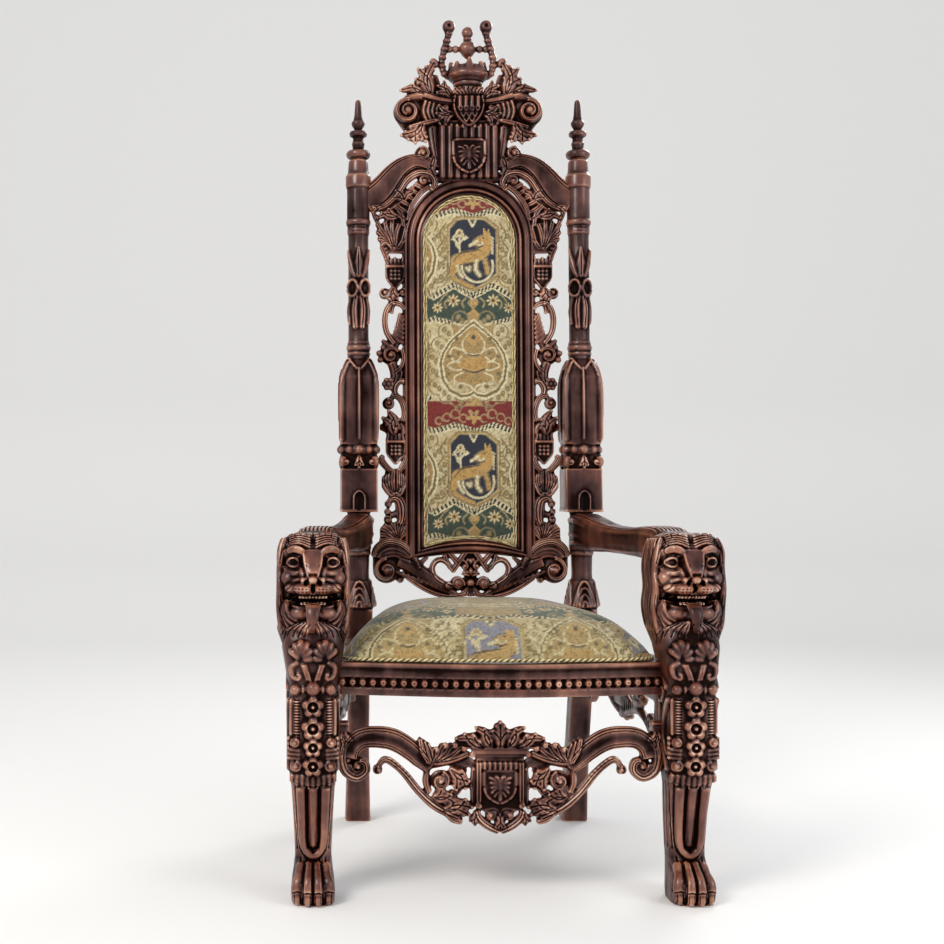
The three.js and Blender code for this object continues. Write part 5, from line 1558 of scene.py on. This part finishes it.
def paintShield(cloth):
    outline = [(-34, 157), (-26, 158), (18, 158), (26, 157), (52, 136), (53, 34), (30, 14), (2, 0), (-24, 10),
        (-52, 30), (-53, 136)]
    for dye, grow in (("olive", 9), ("tan", 7.4), ("cream", 3.4), ("olive", 1.6), ("navy", 0)):
        cloth.area(dye, [(x * (1 + grow / 53), 80 + (z - 80) * (1 + grow / 79)) for x, z in outline])
    # lozenge at the head
    cloth.line("pale", [(-9, 158), (-2, 144), (0, 143), (7, 158)], 1.7)
    cloth.disc("green", -1, 153, 4)
    # sprig on the left
    for line in ([(-30, 80), (-31, 98), (-31, 116)], [(-31, 100), (-40, 108), (-45, 119)],
            [(-31, 104), (-24, 112), (-16, 119)], [(-31, 92), (-38, 99), (-39, 104)],
            [(-20, 112), (-13, 116)], [(-42, 112), (-48, 113)]):
        cloth.line("pale", line, 1.9)
    for x, z, r in ((-31, 128, 8), (-37, 122, 5), (-25, 122, 5)):
        cloth.disc("pale", x, z, r)
        cloth.disc("gold", x, z, r * 0.62)
    cloth.disc("brown", -31, 127, 2.8)
    # ring behind the legs
    cloth.line("pale", [(10 + 36 * math.cos(a), 50 + 37 * math.sin(a))
        for a in np.radians(np.linspace(176, 380, 14))], 2.3)
    # the beast: dark outline, gold body, pale feet
    for line, half in beast.values():
        cloth.line("brown", line, half + 2.0)
    for key, (line, half) in beast.items():
        cloth.line("pale" if key in ("hindLeg", "foreLeg", "thigh") else "gold", line, half)
    cloth.area("gold", [(24, 122), (25, 139), (31, 128), (37, 139), (40, 118)])
    cloth.line("pale", [(9, 108), (0, 102), (-7, 98)], 3.2)
    cloth.line("pale", [(12, 100), (18, 98), (22, 104)], 2.4)
    cloth.line("brown", [(4, 98), (13, 94), (23, 98)], 1.6)
    cloth.line("brown", [(-46, 60), (-30, 78), (-8, 84), (14, 88)], 1.2)
    for k in range(6):
        cloth.line("pale", [(42 + 0.5 * k, 118 - 7 * k), (47 - 0.4 * k, 114 - 7 * k)], 1.5)
    cloth.line("tan", [(22, 78), (30, 66), (28, 58)], 2.0)
    cloth.disc("black", 24, 116, 2.2)


def paintMedallion(cloth):
    # an ogee medallion: a lobed lace edge with pairs of ovals, and a tan field with a heart and a lotus
    lobes = [(62, 61), (78, 30), (90, -2), (88, -34), (84, -66), (62, -86), (34, -96), (30, 90)]
    outer = [(0, 111), (22, 92), (50, 76), (80, 50), (98, 6), (97, -38), (88, -78), (52, -104), (0, -108)]
    outer += handed(-1, outer[-2:0:-1])
    cloth.area("tan", outer)
    cloth.line("gold", outer + outer[:1], 2.6)
    for x, z in lobes + handed(-1, lobes):
        cloth.disc("olive", x, z, 19.5)
    for x, z in lobes:
        for hand in (-1, 1):
            cloth.disc("cream", hand * x, z, 17)
            for turn in (-5, 5):
                cloth.disc("olive", hand * (x + turn), z + turn * 0.9, 5.2, 1.3)
                cloth.disc("tan", hand * (x + turn), z + turn * 0.9, 2.4, 1.3)
    ogee = [(0, 86), (27, 64), (54, 40), (72, 12), (79, -14), (73, -52), (56, -78), (28, -92), (8, -88),
        (0, -82)]
    ogee += handed(-1, ogee[-2:0:-1])
    for dye, share in (("pale", 1.06), ("olive", 1.0), ("pale", 0.93), ("tan", 0.885)):
        cloth.area(dye, [(x * share, z * share) for x, z in ogee])
    for hand in (-1, 1):
        # pale corners under the lotus, the heart's two lines, and side leaves
        cloth.area("cream", handed(hand, [(8, -76), (34, -82), (58, -62), (60, -50), (36, -54), (20, -60)]))
        for dye, half, line in (
            ("pale", 1.7, [(0, 66), (20, 44), (26, 30), (20, 14), (12, 9), (0, 8)]),
            ("olive", 1.5, [(8, 30), (14, 42), (22, 40)]),
            ("pale", 1.6, [(26, 18), (46, 24), (54, 6), (40, -8), (28, 4)]),
            ("pale", 1.6, [(24, -12), (44, -8), (60, -18), (40, -28), (22, -26)]),
            ("pale", 1.5, [(26, -34), (44, -44), (42, -60), (28, -58)]),
            ("olive", 1.8, [(34, 34), (46, 36), (52, 26)]), ("olive", 1.8, [(50, -34), (62, -40), (56, -52)]),
        ):
            cloth.line(dye, handed(hand, line), half)
        for x, z in ((38, 44), (56, 4), (58, -36), (30, -66), (36, 12)):
            cloth.disc("olive", hand * x, z, 5.4)
            cloth.disc("brown", hand * x, z, 2.2)
    cloth.area("gold", [(-26, 0), (26, 0), (34, -16), (22, -27), (0, -30), (-22, -27), (-34, -16)])
    cloth.area("gold", [(-20, 44), (0, 70), (20, 44), (0, 30)])
    cloth.disc("brown", 0, 48, 5.6)
    cloth.disc("black", 0, 47, 3.2)
    cloth.line("brown", [(-25, -26), (0, -33), (25, -26)], 2.0)
    cloth.line("brown", [(-13, 8), (0, 5), (13, 8)], 1.8)
    cloth.line("pale", [(-24, -58), (-8, -64), (0, -74), (8, -64), (24, -58)], 1.7)
    cloth.disc("gold", 0, -96, 6)
    cloth.disc("olive", 0, -96, 3)


def paintMotif(cloth, half):
    # one column of the pattern, about u = 0; v = 0 is the foot of a shield
    u, v = cloth.u, cloth.v
    window = np.abs(u) < half
    # arabesque stems on the cream ground
    for hand in (-1, 1):
        for line in ([(62, 150), (76, 128), (70, 106), (60, 112), (66, 120)],
                [(70, 106), (84, 84), (78, 56), (64, 66), (74, 74)],
                [(78, 56), (92, 30), (80, 12), (66, 20), (72, 30)], [(58, 74), (66, 74)],
                [(60, 26), (54, 14)]):
            cloth.line("olive", handed(hand, line), 1.7)
        for x, z in ((66, 138), (84, 120), (64, 92), (86, 66), (68, 46), (90, 12)):
            cloth.disc("olive", hand * x, z, 3.0)
            cloth.disc("tan", hand * (x + 6), z + 3, 2.4)
    upper = zigzag(u, 166, 180)
    lower = zigzag(u, -20, 6)
    foot = zigzag(u, -72, -84)
    red = window & (v > upper) & (v < 236)
    cloth.paint("red", red.astype(float))
    for hand in (-1, 1):
        for x, z, r in ((24, 196, 9), (42, 206, 10), (62, 198, 9), (80, 190, 8), (34, 220, 7)):
            ring = [(hand * x + r * math.cos(a), z + r * math.sin(a))
                for a in np.radians(np.linspace(0, 300, 9))]
            cloth.paint("tan", red * ((1.3 - cloth.gap(ring)) / 1.4 + 0.5))
    star = np.hypot(u, v - 200)
    cloth.paint("gold", red * ((18 * (0.7 + 0.3 * np.cos(5 * (np.arctan2(v - 200, u) + math.pi / 2)))
        - star) / 1.8 + 0.5))
    cloth.disc("olive", 0, 204, 4)
    cloth.fringe(upper, 7, window)
    green = window & (v < lower) & (v > foot)
    cloth.paint("green", green.astype(float))
    for hand in (-1, 1):
        for line in ([(16, -24), (26, -34), (22, -46)], [(58, -26), (66, -36), (62, -48)],
                [(60, -14), (70, -22), (78, -34)]):
            cloth.line("tan", handed(hand, line), 1.4)
        cloth.flower(hand * 46, -30, 16)
        cloth.flower(hand * 82, -46, 13)
        cloth.line("gold", handed(hand, [(0, -22), (10, -34), (0, -48)]), 1.8)
    cloth.disc("gold", 0, -35, 7)
    cloth.disc("tan", 0, -35, 3.6)
    cloth.fringe(foot, 6, window & (np.abs(u) > 40))
    cloth.fringe(lower, 7, window)
    paintShield(cloth)


def dyed(mesh, across, along, lead=0):
    # stores how much of each dye lies at every point, from its place on the flat cloth
    cover = {dye: np.zeros(len(across)) for dye in dyes}
    pitch, repeat, offset = (tapestry[key] for key in ("pitch", "repeat", "offset"))
    columns = range(math.floor((across.min() - offset) / pitch) - 1,
        math.ceil((across.max() - offset) / pitch) + 2)

    def local(column, lift):
        drop = (column % 2) * repeat / 2
        u = across - offset - column * pitch
        v = np.mod(along - tapestry["zeroZ"] + drop - lift, repeat)
        return u, np.where(v > repeat / 2, v - repeat, v)

    def over(work, near):
        for dye in dyes:
            cover[dye][near] *= 1 - sum(work.cover.values())
            cover[dye][near] += work.cover[dye]

    for column in sorted(columns, key=lambda c: (c + lead + 1) % 2):
        u, v = local(column, 80)
        half = 108 - 10 * lead if (column + lead) % 2 == 0 else 66
        near = np.nonzero(np.abs(u) < half)[0]
        if len(near):
            work = Cloth(u[near], v[near] + 80)
            paintMotif(work, half)
            over(work, near)
    for column in columns:
        u, v = local(column, -163)
        near = np.nonzero((np.abs(u) < 106) & (np.abs(v) < 116))[0]
        if len(near):
            work = Cloth(u[near], v[near])
            paintMedallion(work)
            over(work, near)
    for dye in dyes:
        store(mesh, dye, cover[dye])


def weave(name, look):
    # a ribbed tapestry weave: the dyes are laid one over another, then broken up tuft by tuft and thread by
    # thread; the threads are drawn coarser than the real ones so that they show
    material, tree, shader = newMaterial(name)
    spot = addNode(tree, "TexCoord").outputs["Object"]
    wornAway = addNode(tree, "TexNoise", {0: spot}, i2=1000 / 46, i3=3.0).outputs[0]
    colour = ramp(tree, wornAway, [(0.3, "#b5a175"), (0.5, look["cream"]), (0.7, "#d6c89f")])
    tuft = addNode(tree, "TexNoise", {0: spot}, i2=1000 / 5.5, i3=3.0, i4=0.7).outputs[0]
    ribs = addNode(tree, "Mapping", {0: spot}, i3=(1, 1, 2.2)).outputs[0]
    thread = addNode(tree, "TexNoise", {0: ribs}, i2=1000 / look["threadMm"] / 2.5, i3=2.0, i4=0.7).outputs[0]
    for dye in dyes:
        share = addNode(tree, "Attribute", attribute_name=dye).outputs["Fac"]
        colour = addNode(tree, "Mix", {0: share, 6: colour}, data_type="RGBA",
            i7=linear(look[dye])).outputs[2]
    for source, stops, share in ((tuft, [(0.36, 0.52), (0.5, 0.9), (0.62, 1.0)], 0.9),
            (thread, [(0.32, 0.55), (0.5, 0.86), (0.68, 1.0)], 0.8)):
        shade = ramp(tree, source, stops)
        colour = addNode(tree, "Mix", {6: colour, 7: shade}, data_type="RGBA", blend_type="MULTIPLY",
            i0=share).outputs[2]
    tree.links.new(colour, shader.inputs["Base Color"])
    shader.inputs["Roughness"].default_value = 0.88
    shader.inputs["Sheen Weight"].default_value = 0.25
    shader.inputs["Sheen Roughness"].default_value = 0.5
    bump = addNode(tree, "Bump", {"Height": thread}, i0=0.6, i1=0.0009)
    tree.links.new(bump.outputs[0], shader.inputs["Normal"])
    return material


tapestryCloth = weave("tapestry_cloth", tapestry)
# the seat has worn and faded: its blues have gone lilac-grey and its reds tan
fadedCloth = weave("faded_tapestry", {**tapestry, "navy": "#86848a", "red": "#9c8455", "gold": "#b3935a",
    "green": "#4d5842", "tan": "#a8905c", "pale": "#cdbf92", "cream": "#b8a878", "olive": "#77683e"})


# Stuffed pieces.
cloths = {"frames": 20, "quality": 5}  # what each pad's swelling takes


def sheet(columns, rows):
    # a grid over a piece of cloth: its two shares from 0 to 1, and its faces
    shape = bmesh.new()
    bmesh.ops.create_grid(shape, x_segments=columns, y_segments=rows, size=0.5)
    points, faces = formOf(shape)
    return points[:, 0] + 0.5, points[:, 1] + 0.5, faces


def onGrid(values, p, q, columns, rows):
    grid = np.zeros((rows + 1, columns + 1, *values.shape[1:]))
    grid[np.rint(q * rows).astype(int), np.rint(p * columns).astype(int)] = values
    return grid


def swelling(surface, behind, hold, pressure, cap, columns, rows):
    # a coarse closed pad is filled with air: returns how far each point of its face moves, as a grid
    p, q, faces = sheet(columns, rows)
    front = surface(p, q)
    edge = (np.abs(p - 0.5) > 0.4999) | (np.abs(q - 0.5) > 0.4999)
    inner = np.flatnonzero(~edge)
    index = np.arange(len(front))
    index[inner] = len(front) + np.arange(len(inner))
    mesh = bpy.data.meshes.new("swelling")
    points = np.vstack([front, behind(front)[inner]])
    mesh.from_pydata((points * mm).tolist(), [], faces + [[int(index[i]) for i in face[::-1]]
        for face in faces])
    held = bpy.data.objects.new("swelling", mesh)
    scene = bpy.context.scene
    scene.collection.objects.link(held)
    cloth = held.modifiers.new("Cloth", "CLOTH")
    cloth.settings.quality = cloths["quality"]
    cloth.settings.use_pressure = True
    cloth.settings.uniform_pressure_force = pressure
    cloth.settings.effector_weights.gravity = 0
    for step in range(cloths["frames"]):
        scene.frame_set(step + 1)
    blown, _ = arrays(held.evaluated_get(bpy.context.evaluated_depsgraph_get()).data)
    scene.frame_set(1)
    bpy.data.objects.remove(held)
    bpy.data.meshes.remove(mesh)
    shift = blown[:len(front)] - front
    reach = np.linalg.norm(shift, axis=1)
    print(f"swelled by {reach.mean():.1f} mm, at most {reach.max():.1f}")
    shift *= (np.minimum(reach, cap) / np.maximum(reach, 1e-9) * hold(p, q))[:, None]
    return onGrid(shift, p, q, columns, rows)


def between(grid, p, q):
    # a grid's values at any shares, smoothly between its points
    rows, columns = grid.shape[0] - 1, grid.shape[1] - 1
    x, y = p * columns, q * rows
    i, j = np.minimum(x.astype(int), columns - 1), np.minimum(y.astype(int), rows - 1)
    s, t = (x - i)[:, None], (y - j)[:, None]
    return (grid[j, i] * (1 - s) + grid[j, i + 1] * s) * (1 - t) + (grid[j + 1, i] * (1 - s)
        + grid[j + 1, i + 1] * s) * t


def stuffed(name, surface, behind, hold, size, coarse, pressure=4, cap=10):
    # the cloth face of a pad as a fine sheet closed behind, and how far each point lies across and along it
    columns, rows = size
    p, q, faces = sheet(columns, rows)
    points = surface(p, q)
    points = points + between(swelling(surface, behind, hold, pressure, cap, *coarse), p, q)
    grid = onGrid(points, p, q, columns, rows)
    across = np.concatenate([[0 * grid[:, 0, 0]], np.cumsum(np.linalg.norm(np.diff(grid, axis=1), axis=2),
        axis=1).T]).T
    across -= across[:, [columns // 2]]
    along = np.concatenate([[0 * grid[0, :, 0]], np.cumsum(np.linalg.norm(np.diff(grid, axis=0), axis=2),
        axis=0)])
    row, column = np.rint(q * rows).astype(int), np.rint(p * columns).astype(int)
    mesh = meshOf(name, [(points, faces)])
    shape = bmesh.new()
    shape.from_mesh(mesh)
    # the rim is drawn down to the back, and the back is closed
    rim = [e for e in shape.edges if e.is_boundary]
    drawnDown = bmesh.ops.extrude_edge_only(shape, edges=rim)["geom"]
    for vert in drawnDown:
        if isinstance(vert, bmesh.types.BMVert):
            vert.co = behind(np.array([vert.co[:]]) / mm)[0] * mm
    bmesh.ops.holes_fill(shape, edges=[e for e in drawnDown if isinstance(e, bmesh.types.BMEdge)
        and e.is_boundary], sides=0)
    shape.to_mesh(mesh)
    shape.free()
    spare = len(mesh.vertices) - len(points)
    return mesh, np.append(across[row, column], np.zeros(spare)), np.append(along[row, column],
        np.zeros(spare))


def facedOut(mesh):
    shape = bmesh.new()
    shape.from_mesh(mesh)
    bmesh.ops.recalc_face_normals(shape, faces=shape.faces[:])
    shape.to_mesh(mesh)
    shape.free()
    smooth(mesh)


def twisted(path, radius, lay, sides=8):
    # a closed ring of two twisted plies laid along a line
    line = np.array(path, float)
    ahead = np.roll(line, -1, axis=0) - np.roll(line, 1, axis=0)
    ahead /= np.linalg.norm(ahead, axis=1)[:, None]
    up = np.array((0, 0, 1.0)) if abs(ahead[:, 2]).mean() < 0.3 else np.array((0, -1.0, 0))
    side = unit(np.cross(ahead, up))
    lift = np.cross(side, ahead)
    total = np.linalg.norm(np.diff(line, axis=0), axis=1).sum() + np.linalg.norm(line[0] - line[-1])
    turns = round(total / lay)
    p, q, faces = sheet(len(line), sides)
    step = np.rint(p * len(line)).astype(int) % len(line)
    angle = np.rint(q * sides) / sides * math.tau
    ply = np.cos(2 * (angle - p * turns * math.pi))
    reach = radius * (1 + 0.16 * ply)
    points = line[step] + side[step] * (reach * np.cos(angle))[:,
        None] + lift[step] * (reach * np.sin(angle))[:, None]
    return points, faces, ply


def cordMesh(name, cords):
    # cords as one mesh that knows its plies
    mesh = meshOf(name, [(points, faces) for points, faces, _ in cords])
    store(mesh, "ply", np.concatenate([ply for _, _, ply in cords]))
    shape = bmesh.new()
    shape.from_mesh(mesh)
    bmesh.ops.remove_doubles(shape, verts=shape.verts[:], dist=0.00002)
    shape.to_mesh(mesh)
    shape.free()
    facedOut(mesh)
    return mesh


def braidMaterial():
    # gimp braid: cream silk plies, painted near-black down into the grooves between them as painted shade
    material, tree, shader = newMaterial("gimp_braid")
    spot = addNode(tree, "TexCoord").outputs["Object"]
    ply = addNode(tree, "Attribute", attribute_name="ply").outputs["Fac"]
    fray = addNode(tree, "TexNoise", {0: spot}, i2=1000 / 9, i3=3.0).outputs[0]
    # ply is low in the grooves between the plies, where the painted shade goes
    level = addNode(tree, "Math", {0: ply}, operation="MULTIPLY_ADD", i1=0.5, i2=0.22).outputs[0]
    level = addNode(tree, "Math", {0: level, 1: fray}, operation="ADD").outputs[0]
    colour = ramp(tree, level, [(0.22, "#1d150b"), (0.45, "#6d5730"), (0.72, "#b9a46d"), (1.0, "#d8c997")])
    tree.links.new(colour, shader.inputs["Base Color"])
    shader.inputs["Roughness"].default_value = 0.7
    shader.inputs["Sheen Weight"].default_value = 0.2
    return material


def liningMaterial():
    # plain dark olive cotton on the outside of the back
    material, tree, shader = newMaterial("lining_cloth")
    spot = addNode(tree, "TexCoord").outputs["Object"]
    thread = addNode(tree, "TexNoise", {0: spot}, i2=1000 / 1.4, i3=2.0).outputs[0]
    patch = addNode(tree, "TexNoise", {0: spot}, i2=1000 / 120, i3=2.0).outputs[0]
    level = addNode(tree, "Math", {0: patch, 1: thread}, operation="ADD").outputs[0]
    colour = ramp(tree, level, [(0.7, "#3c3524"), (1.0, "#5b5137"), (1.3, "#6d6245")])
    tree.links.new(colour, shader.inputs["Base Color"])
    shader.inputs["Roughness"].default_value = 0.9
    bump = addNode(tree, "Bump", {"Height": thread}, i0=0.5, i1=0.0006)
    tree.links.new(bump.outputs[0], shader.inputs["Normal"])
    return material


gimpBraid = braidMaterial()
liningCloth = liningMaterial()
print("cloths ready")


# Seat cushion.
cushion = {
    "base": 450.5, "high": 90, "front": -262, "rear": 187, "halfFront": 309, "halfRear": 222,
    "bow": 33, "square": 14,  # square is how sharp the plan's corners are
    "fill": 0.75, "cordR": 3.4, "patternX": 20.5, "patternZ": 1308,
}


def cushionPlan(a, b):
    look = cushion
    size = np.maximum((np.abs(a) ** look["square"] + np.abs(b) ** look["square"]) ** (1 / look["square"]),
        1e-9)
    share = np.maximum(np.abs(a), np.abs(b)) / size
    a, b = a * share, b * share
    half = look["halfFront"] + (look["halfRear"] - look["halfFront"]) * (b + 1) / 2
    bow = np.where(b < 0, -look["bow"] * (1 - a * a) * b * b, 0)
    return a * half, look["front"] + (look["rear"] - look["front"]) * (b + 1) / 2 + bow


def crownLevel(a):
    return (1 - np.clip((np.abs(a) - 0.34) / 0.66, 0, 1) ** 2) ** 0.40


def seatSurface(p, q):
    a, b = np.sin((p - 0.5) * math.pi), np.sin((q - 0.5) * math.pi)
    x, y = cushionPlan(a, b)
    level = crownLevel(a) * crownLevel(b)
    return np.stack([x, y, cushion["base"] + cushion["high"] * level
        * (1 + 0.06 * np.cos(a * 1.5) * np.cos(b * 1.5) - 0.06)], -1)


def makeCushion():
    def under(points):
        return points * (1, 1, 0) + (0, 0, cushion["base"])

    def free(p, q):
        return np.clip(6 * np.minimum(np.minimum(p, 1 - p), np.minimum(q, 1 - q)), 0, 1)

    mesh, across, along = stuffed("seat_cushion_cloth", seatSurface, under, free, (184, 168), (92, 84), cap=9)
    dyed(mesh, across + cushion["patternX"], along + cushion["patternZ"], lead=1)
    facedOut(mesh)
    pad = place("seat_cushion_cloth", mesh, fadedCloth, "seat_cushion", slot="tapestry")
    # gimp along its foot
    turn = np.linspace(0, 1, 760, endpoint=False)
    a = np.clip(np.abs(np.mod(turn * 4 + 1, 4) - 2) * 2 - 2, -1, 1)
    b = np.clip(np.abs(np.mod(turn * 4, 4) - 2) * 2 - 2, -1, 1)
    x, y = cushionPlan(a, b)
    r = cushion["cordR"]
    path = np.stack([x * (1 + 1.5 / 300), y - np.where(y < -200, 1.5, 0),
        np.full(len(x), cushion["base"] + r + 0.3)], -1)
    place("seat_gimp", cordMesh("seat_gimp", [twisted(path, r, 9)]), gimpBraid, slot="tapestry")
    print("seat cushion made")


# Back panel.
panel = {"half": 107.2, "edge": 648.6, "thick": 12, "proud": 12.5, "soft": 15}


def panelFoot(x):
    return panel["edge"] + backFrame["riseIn"] * (1 - (x / panel["half"]) ** 2)


def panelHead(x):
    return throne["archZ"] + np.sqrt(np.maximum(panel["half"] ** 2 - x * x, 0))


def panelSurface(p, q):
    x = panel["half"] * np.sin((p - 0.5) * math.pi * 0.94) / math.sin(math.pi * 0.47)
    foot, head = panelFoot(x), panelHead(x)
    z = foot + (head - foot) * q
    inset = np.minimum(panel["half"] - np.where(z > throne["archZ"], np.hypot(x, z - throne["archZ"]),
        np.abs(x)), z - foot)
    forward = 4.6 + panel["proud"] * (1 - np.exp(-np.maximum(inset, 0) / panel["soft"]))
    return np.stack([x, backAt(z) - forward, z], -1)


def makePanel():
    def rearOf(points):
        return np.stack([points[:, 0], backAt(points[:, 2]) + panel["thick"] - 0.4, points[:, 2]], -1)

    def free(p, q):
        return np.clip(7 * np.minimum(np.minimum(p, 1 - p), 3 * np.minimum(q, 1 - q)), 0, 1)

    mesh, across, along = stuffed("back_panel_cloth", panelSurface, rearOf, free, (112, 400), (56, 150),
        cap=3)
    points, _ = arrays(mesh)
    dyed(mesh, points[:, 0], points[:, 2])
    facedOut(mesh)
    pad = place("back_panel_cloth", mesh, tapestryCloth, "back_panel", slot="tapestry")
    # two thin cords round the cloth
    cords = []
    for inset, radius, forward in ((3.0, 2.3, 8.2), (8.4, 1.7, 10.5)):
        line = archPath(backFrame["inner"] - 0.6 - inset, 130, 90)
        cords.append(twisted([(x, backAt(z) - forward, z) for x, z in line[:-1]], radius, 6.5, sides=6))
    place("panel_gimp", cordMesh("panel_gimp", cords), gimpBraid, slot="tapestry")
    # the outside of the back
    def coverSurface(p, q):
        flat = panelSurface(1 - p, q)
        inset = np.minimum(np.minimum(p, 1 - p), 3 * np.minimum(q, 1 - q))
        flat[:, 1] = backAt(flat[:, 2]) + 16.5 + 3 * np.clip(inset * 5, 0, 1) ** 0.5
        return flat

    def coverBack(points):
        return np.stack([points[:, 0], backAt(points[:, 2]) + 12.6, points[:, 2]], -1)

    cover, _, _ = stuffed("back_cover_cloth", coverSurface, coverBack, free, (40, 90), (30, 60), pressure=1,
        cap=0.6)
    facedOut(cover)
    place("back_cover_cloth", cover, liningCloth, "back_cover", slot="liner")
    print("back panel made")


makeCrest()
makeSideStrips()
makeLowerRail()
makeFrontApron()
makePosts()
makeLegs()
makeArms()
makeRails()
makeBackFrame()
makeSideRails()
makeSideAprons()
makeCushion()
makePanel()


# Floor, light and camera.
studio = {"floor": "#f4f3f1", "keyPower": 78, "fillPower": 36, "rimPower": 30, "world": 0.8}


def areaLight(name, power, size, at, to, tint):
    light = bpy.data.lights.new(name, "AREA")
    light.energy, light.shape, light.size = power, "DISK", size
    light.color = linear(tint)[:3]
    lamp = bpy.data.objects.new(name, light)
    lamp.location = at
    x, y, z = np.array(to, float) - np.array(at, float)
    lamp.rotation_euler = (math.atan2(math.hypot(x, y), -z), 0, -math.atan2(x, y))
    bpy.context.scene.collection.objects.link(lamp)


def makeStudio():
    scene = bpy.context.scene
    # the floor turns up into a backdrop a long way behind
    shape = bmesh.new()
    line = [shape.verts.new((-6, y, z)) for y, z in ((-5, 0), (4, 0), (5.2, 0.35), (6, 1.4), (6, 6))]
    edges = [shape.edges.new(pair) for pair in zip(line, line[1:])]
    made = bmesh.ops.extrude_edge_only(shape, edges=edges)
    bmesh.ops.translate(shape, vec=(12, 0, 0), verts=vertsOf(made["geom"]))
    bmesh.ops.recalc_face_normals(shape, faces=shape.faces[:])
    mesh = bpy.data.meshes.new("studio_floor")
    shape.to_mesh(mesh)
    shape.free()
    smooth(mesh)
    material, tree, shader = newMaterial("matt_white_paper")
    shader.inputs["Base Color"].default_value = linear(studio["floor"])
    shader.inputs["Roughness"].default_value = 0.9
    shader.inputs["Specular IOR Level"].default_value = 0.2
    mesh.materials.append(material)
    floor = bpy.data.objects.new("studio_floor", mesh)
    scene.collection.objects.link(floor)

    world = bpy.data.worlds.new("soft_room")
    world.use_nodes = True
    world.node_tree.nodes["Background"].inputs[0].default_value = linear("#f3f4f6")
    world.node_tree.nodes["Background"].inputs[1].default_value = studio["world"]
    scene.world = world
    areaLight("key", studio["keyPower"], 1.6, (-2.3, -2.6, 3.0), (0, 0, 0.9), "#fffaf3")
    areaLight("fill", studio["fillPower"], 2.0, (2.8, -2.2, 1.6), (0, 0, 0.8), "#f4f8ff")
    areaLight("rim", studio["rimPower"], 1.2, (1.6, 1.8, 2.9), (0, 0, 1.1), "#ffffff")

    lens = bpy.data.cameras.new("camera")
    lens.lens, lens.sensor_width = 50.2, 36
    lens.shift_x, lens.shift_y = 0.16, 0.022
    camera = bpy.data.objects.new("camera", lens)
    camera.location = (-0.343, -2.799, 0.774)
    camera.rotation_euler = (math.pi / 2, 0, 0)
    scene.collection.objects.link(camera)
    scene.camera = camera
    scene.view_settings.view_transform = "Standard"


makeStudio()
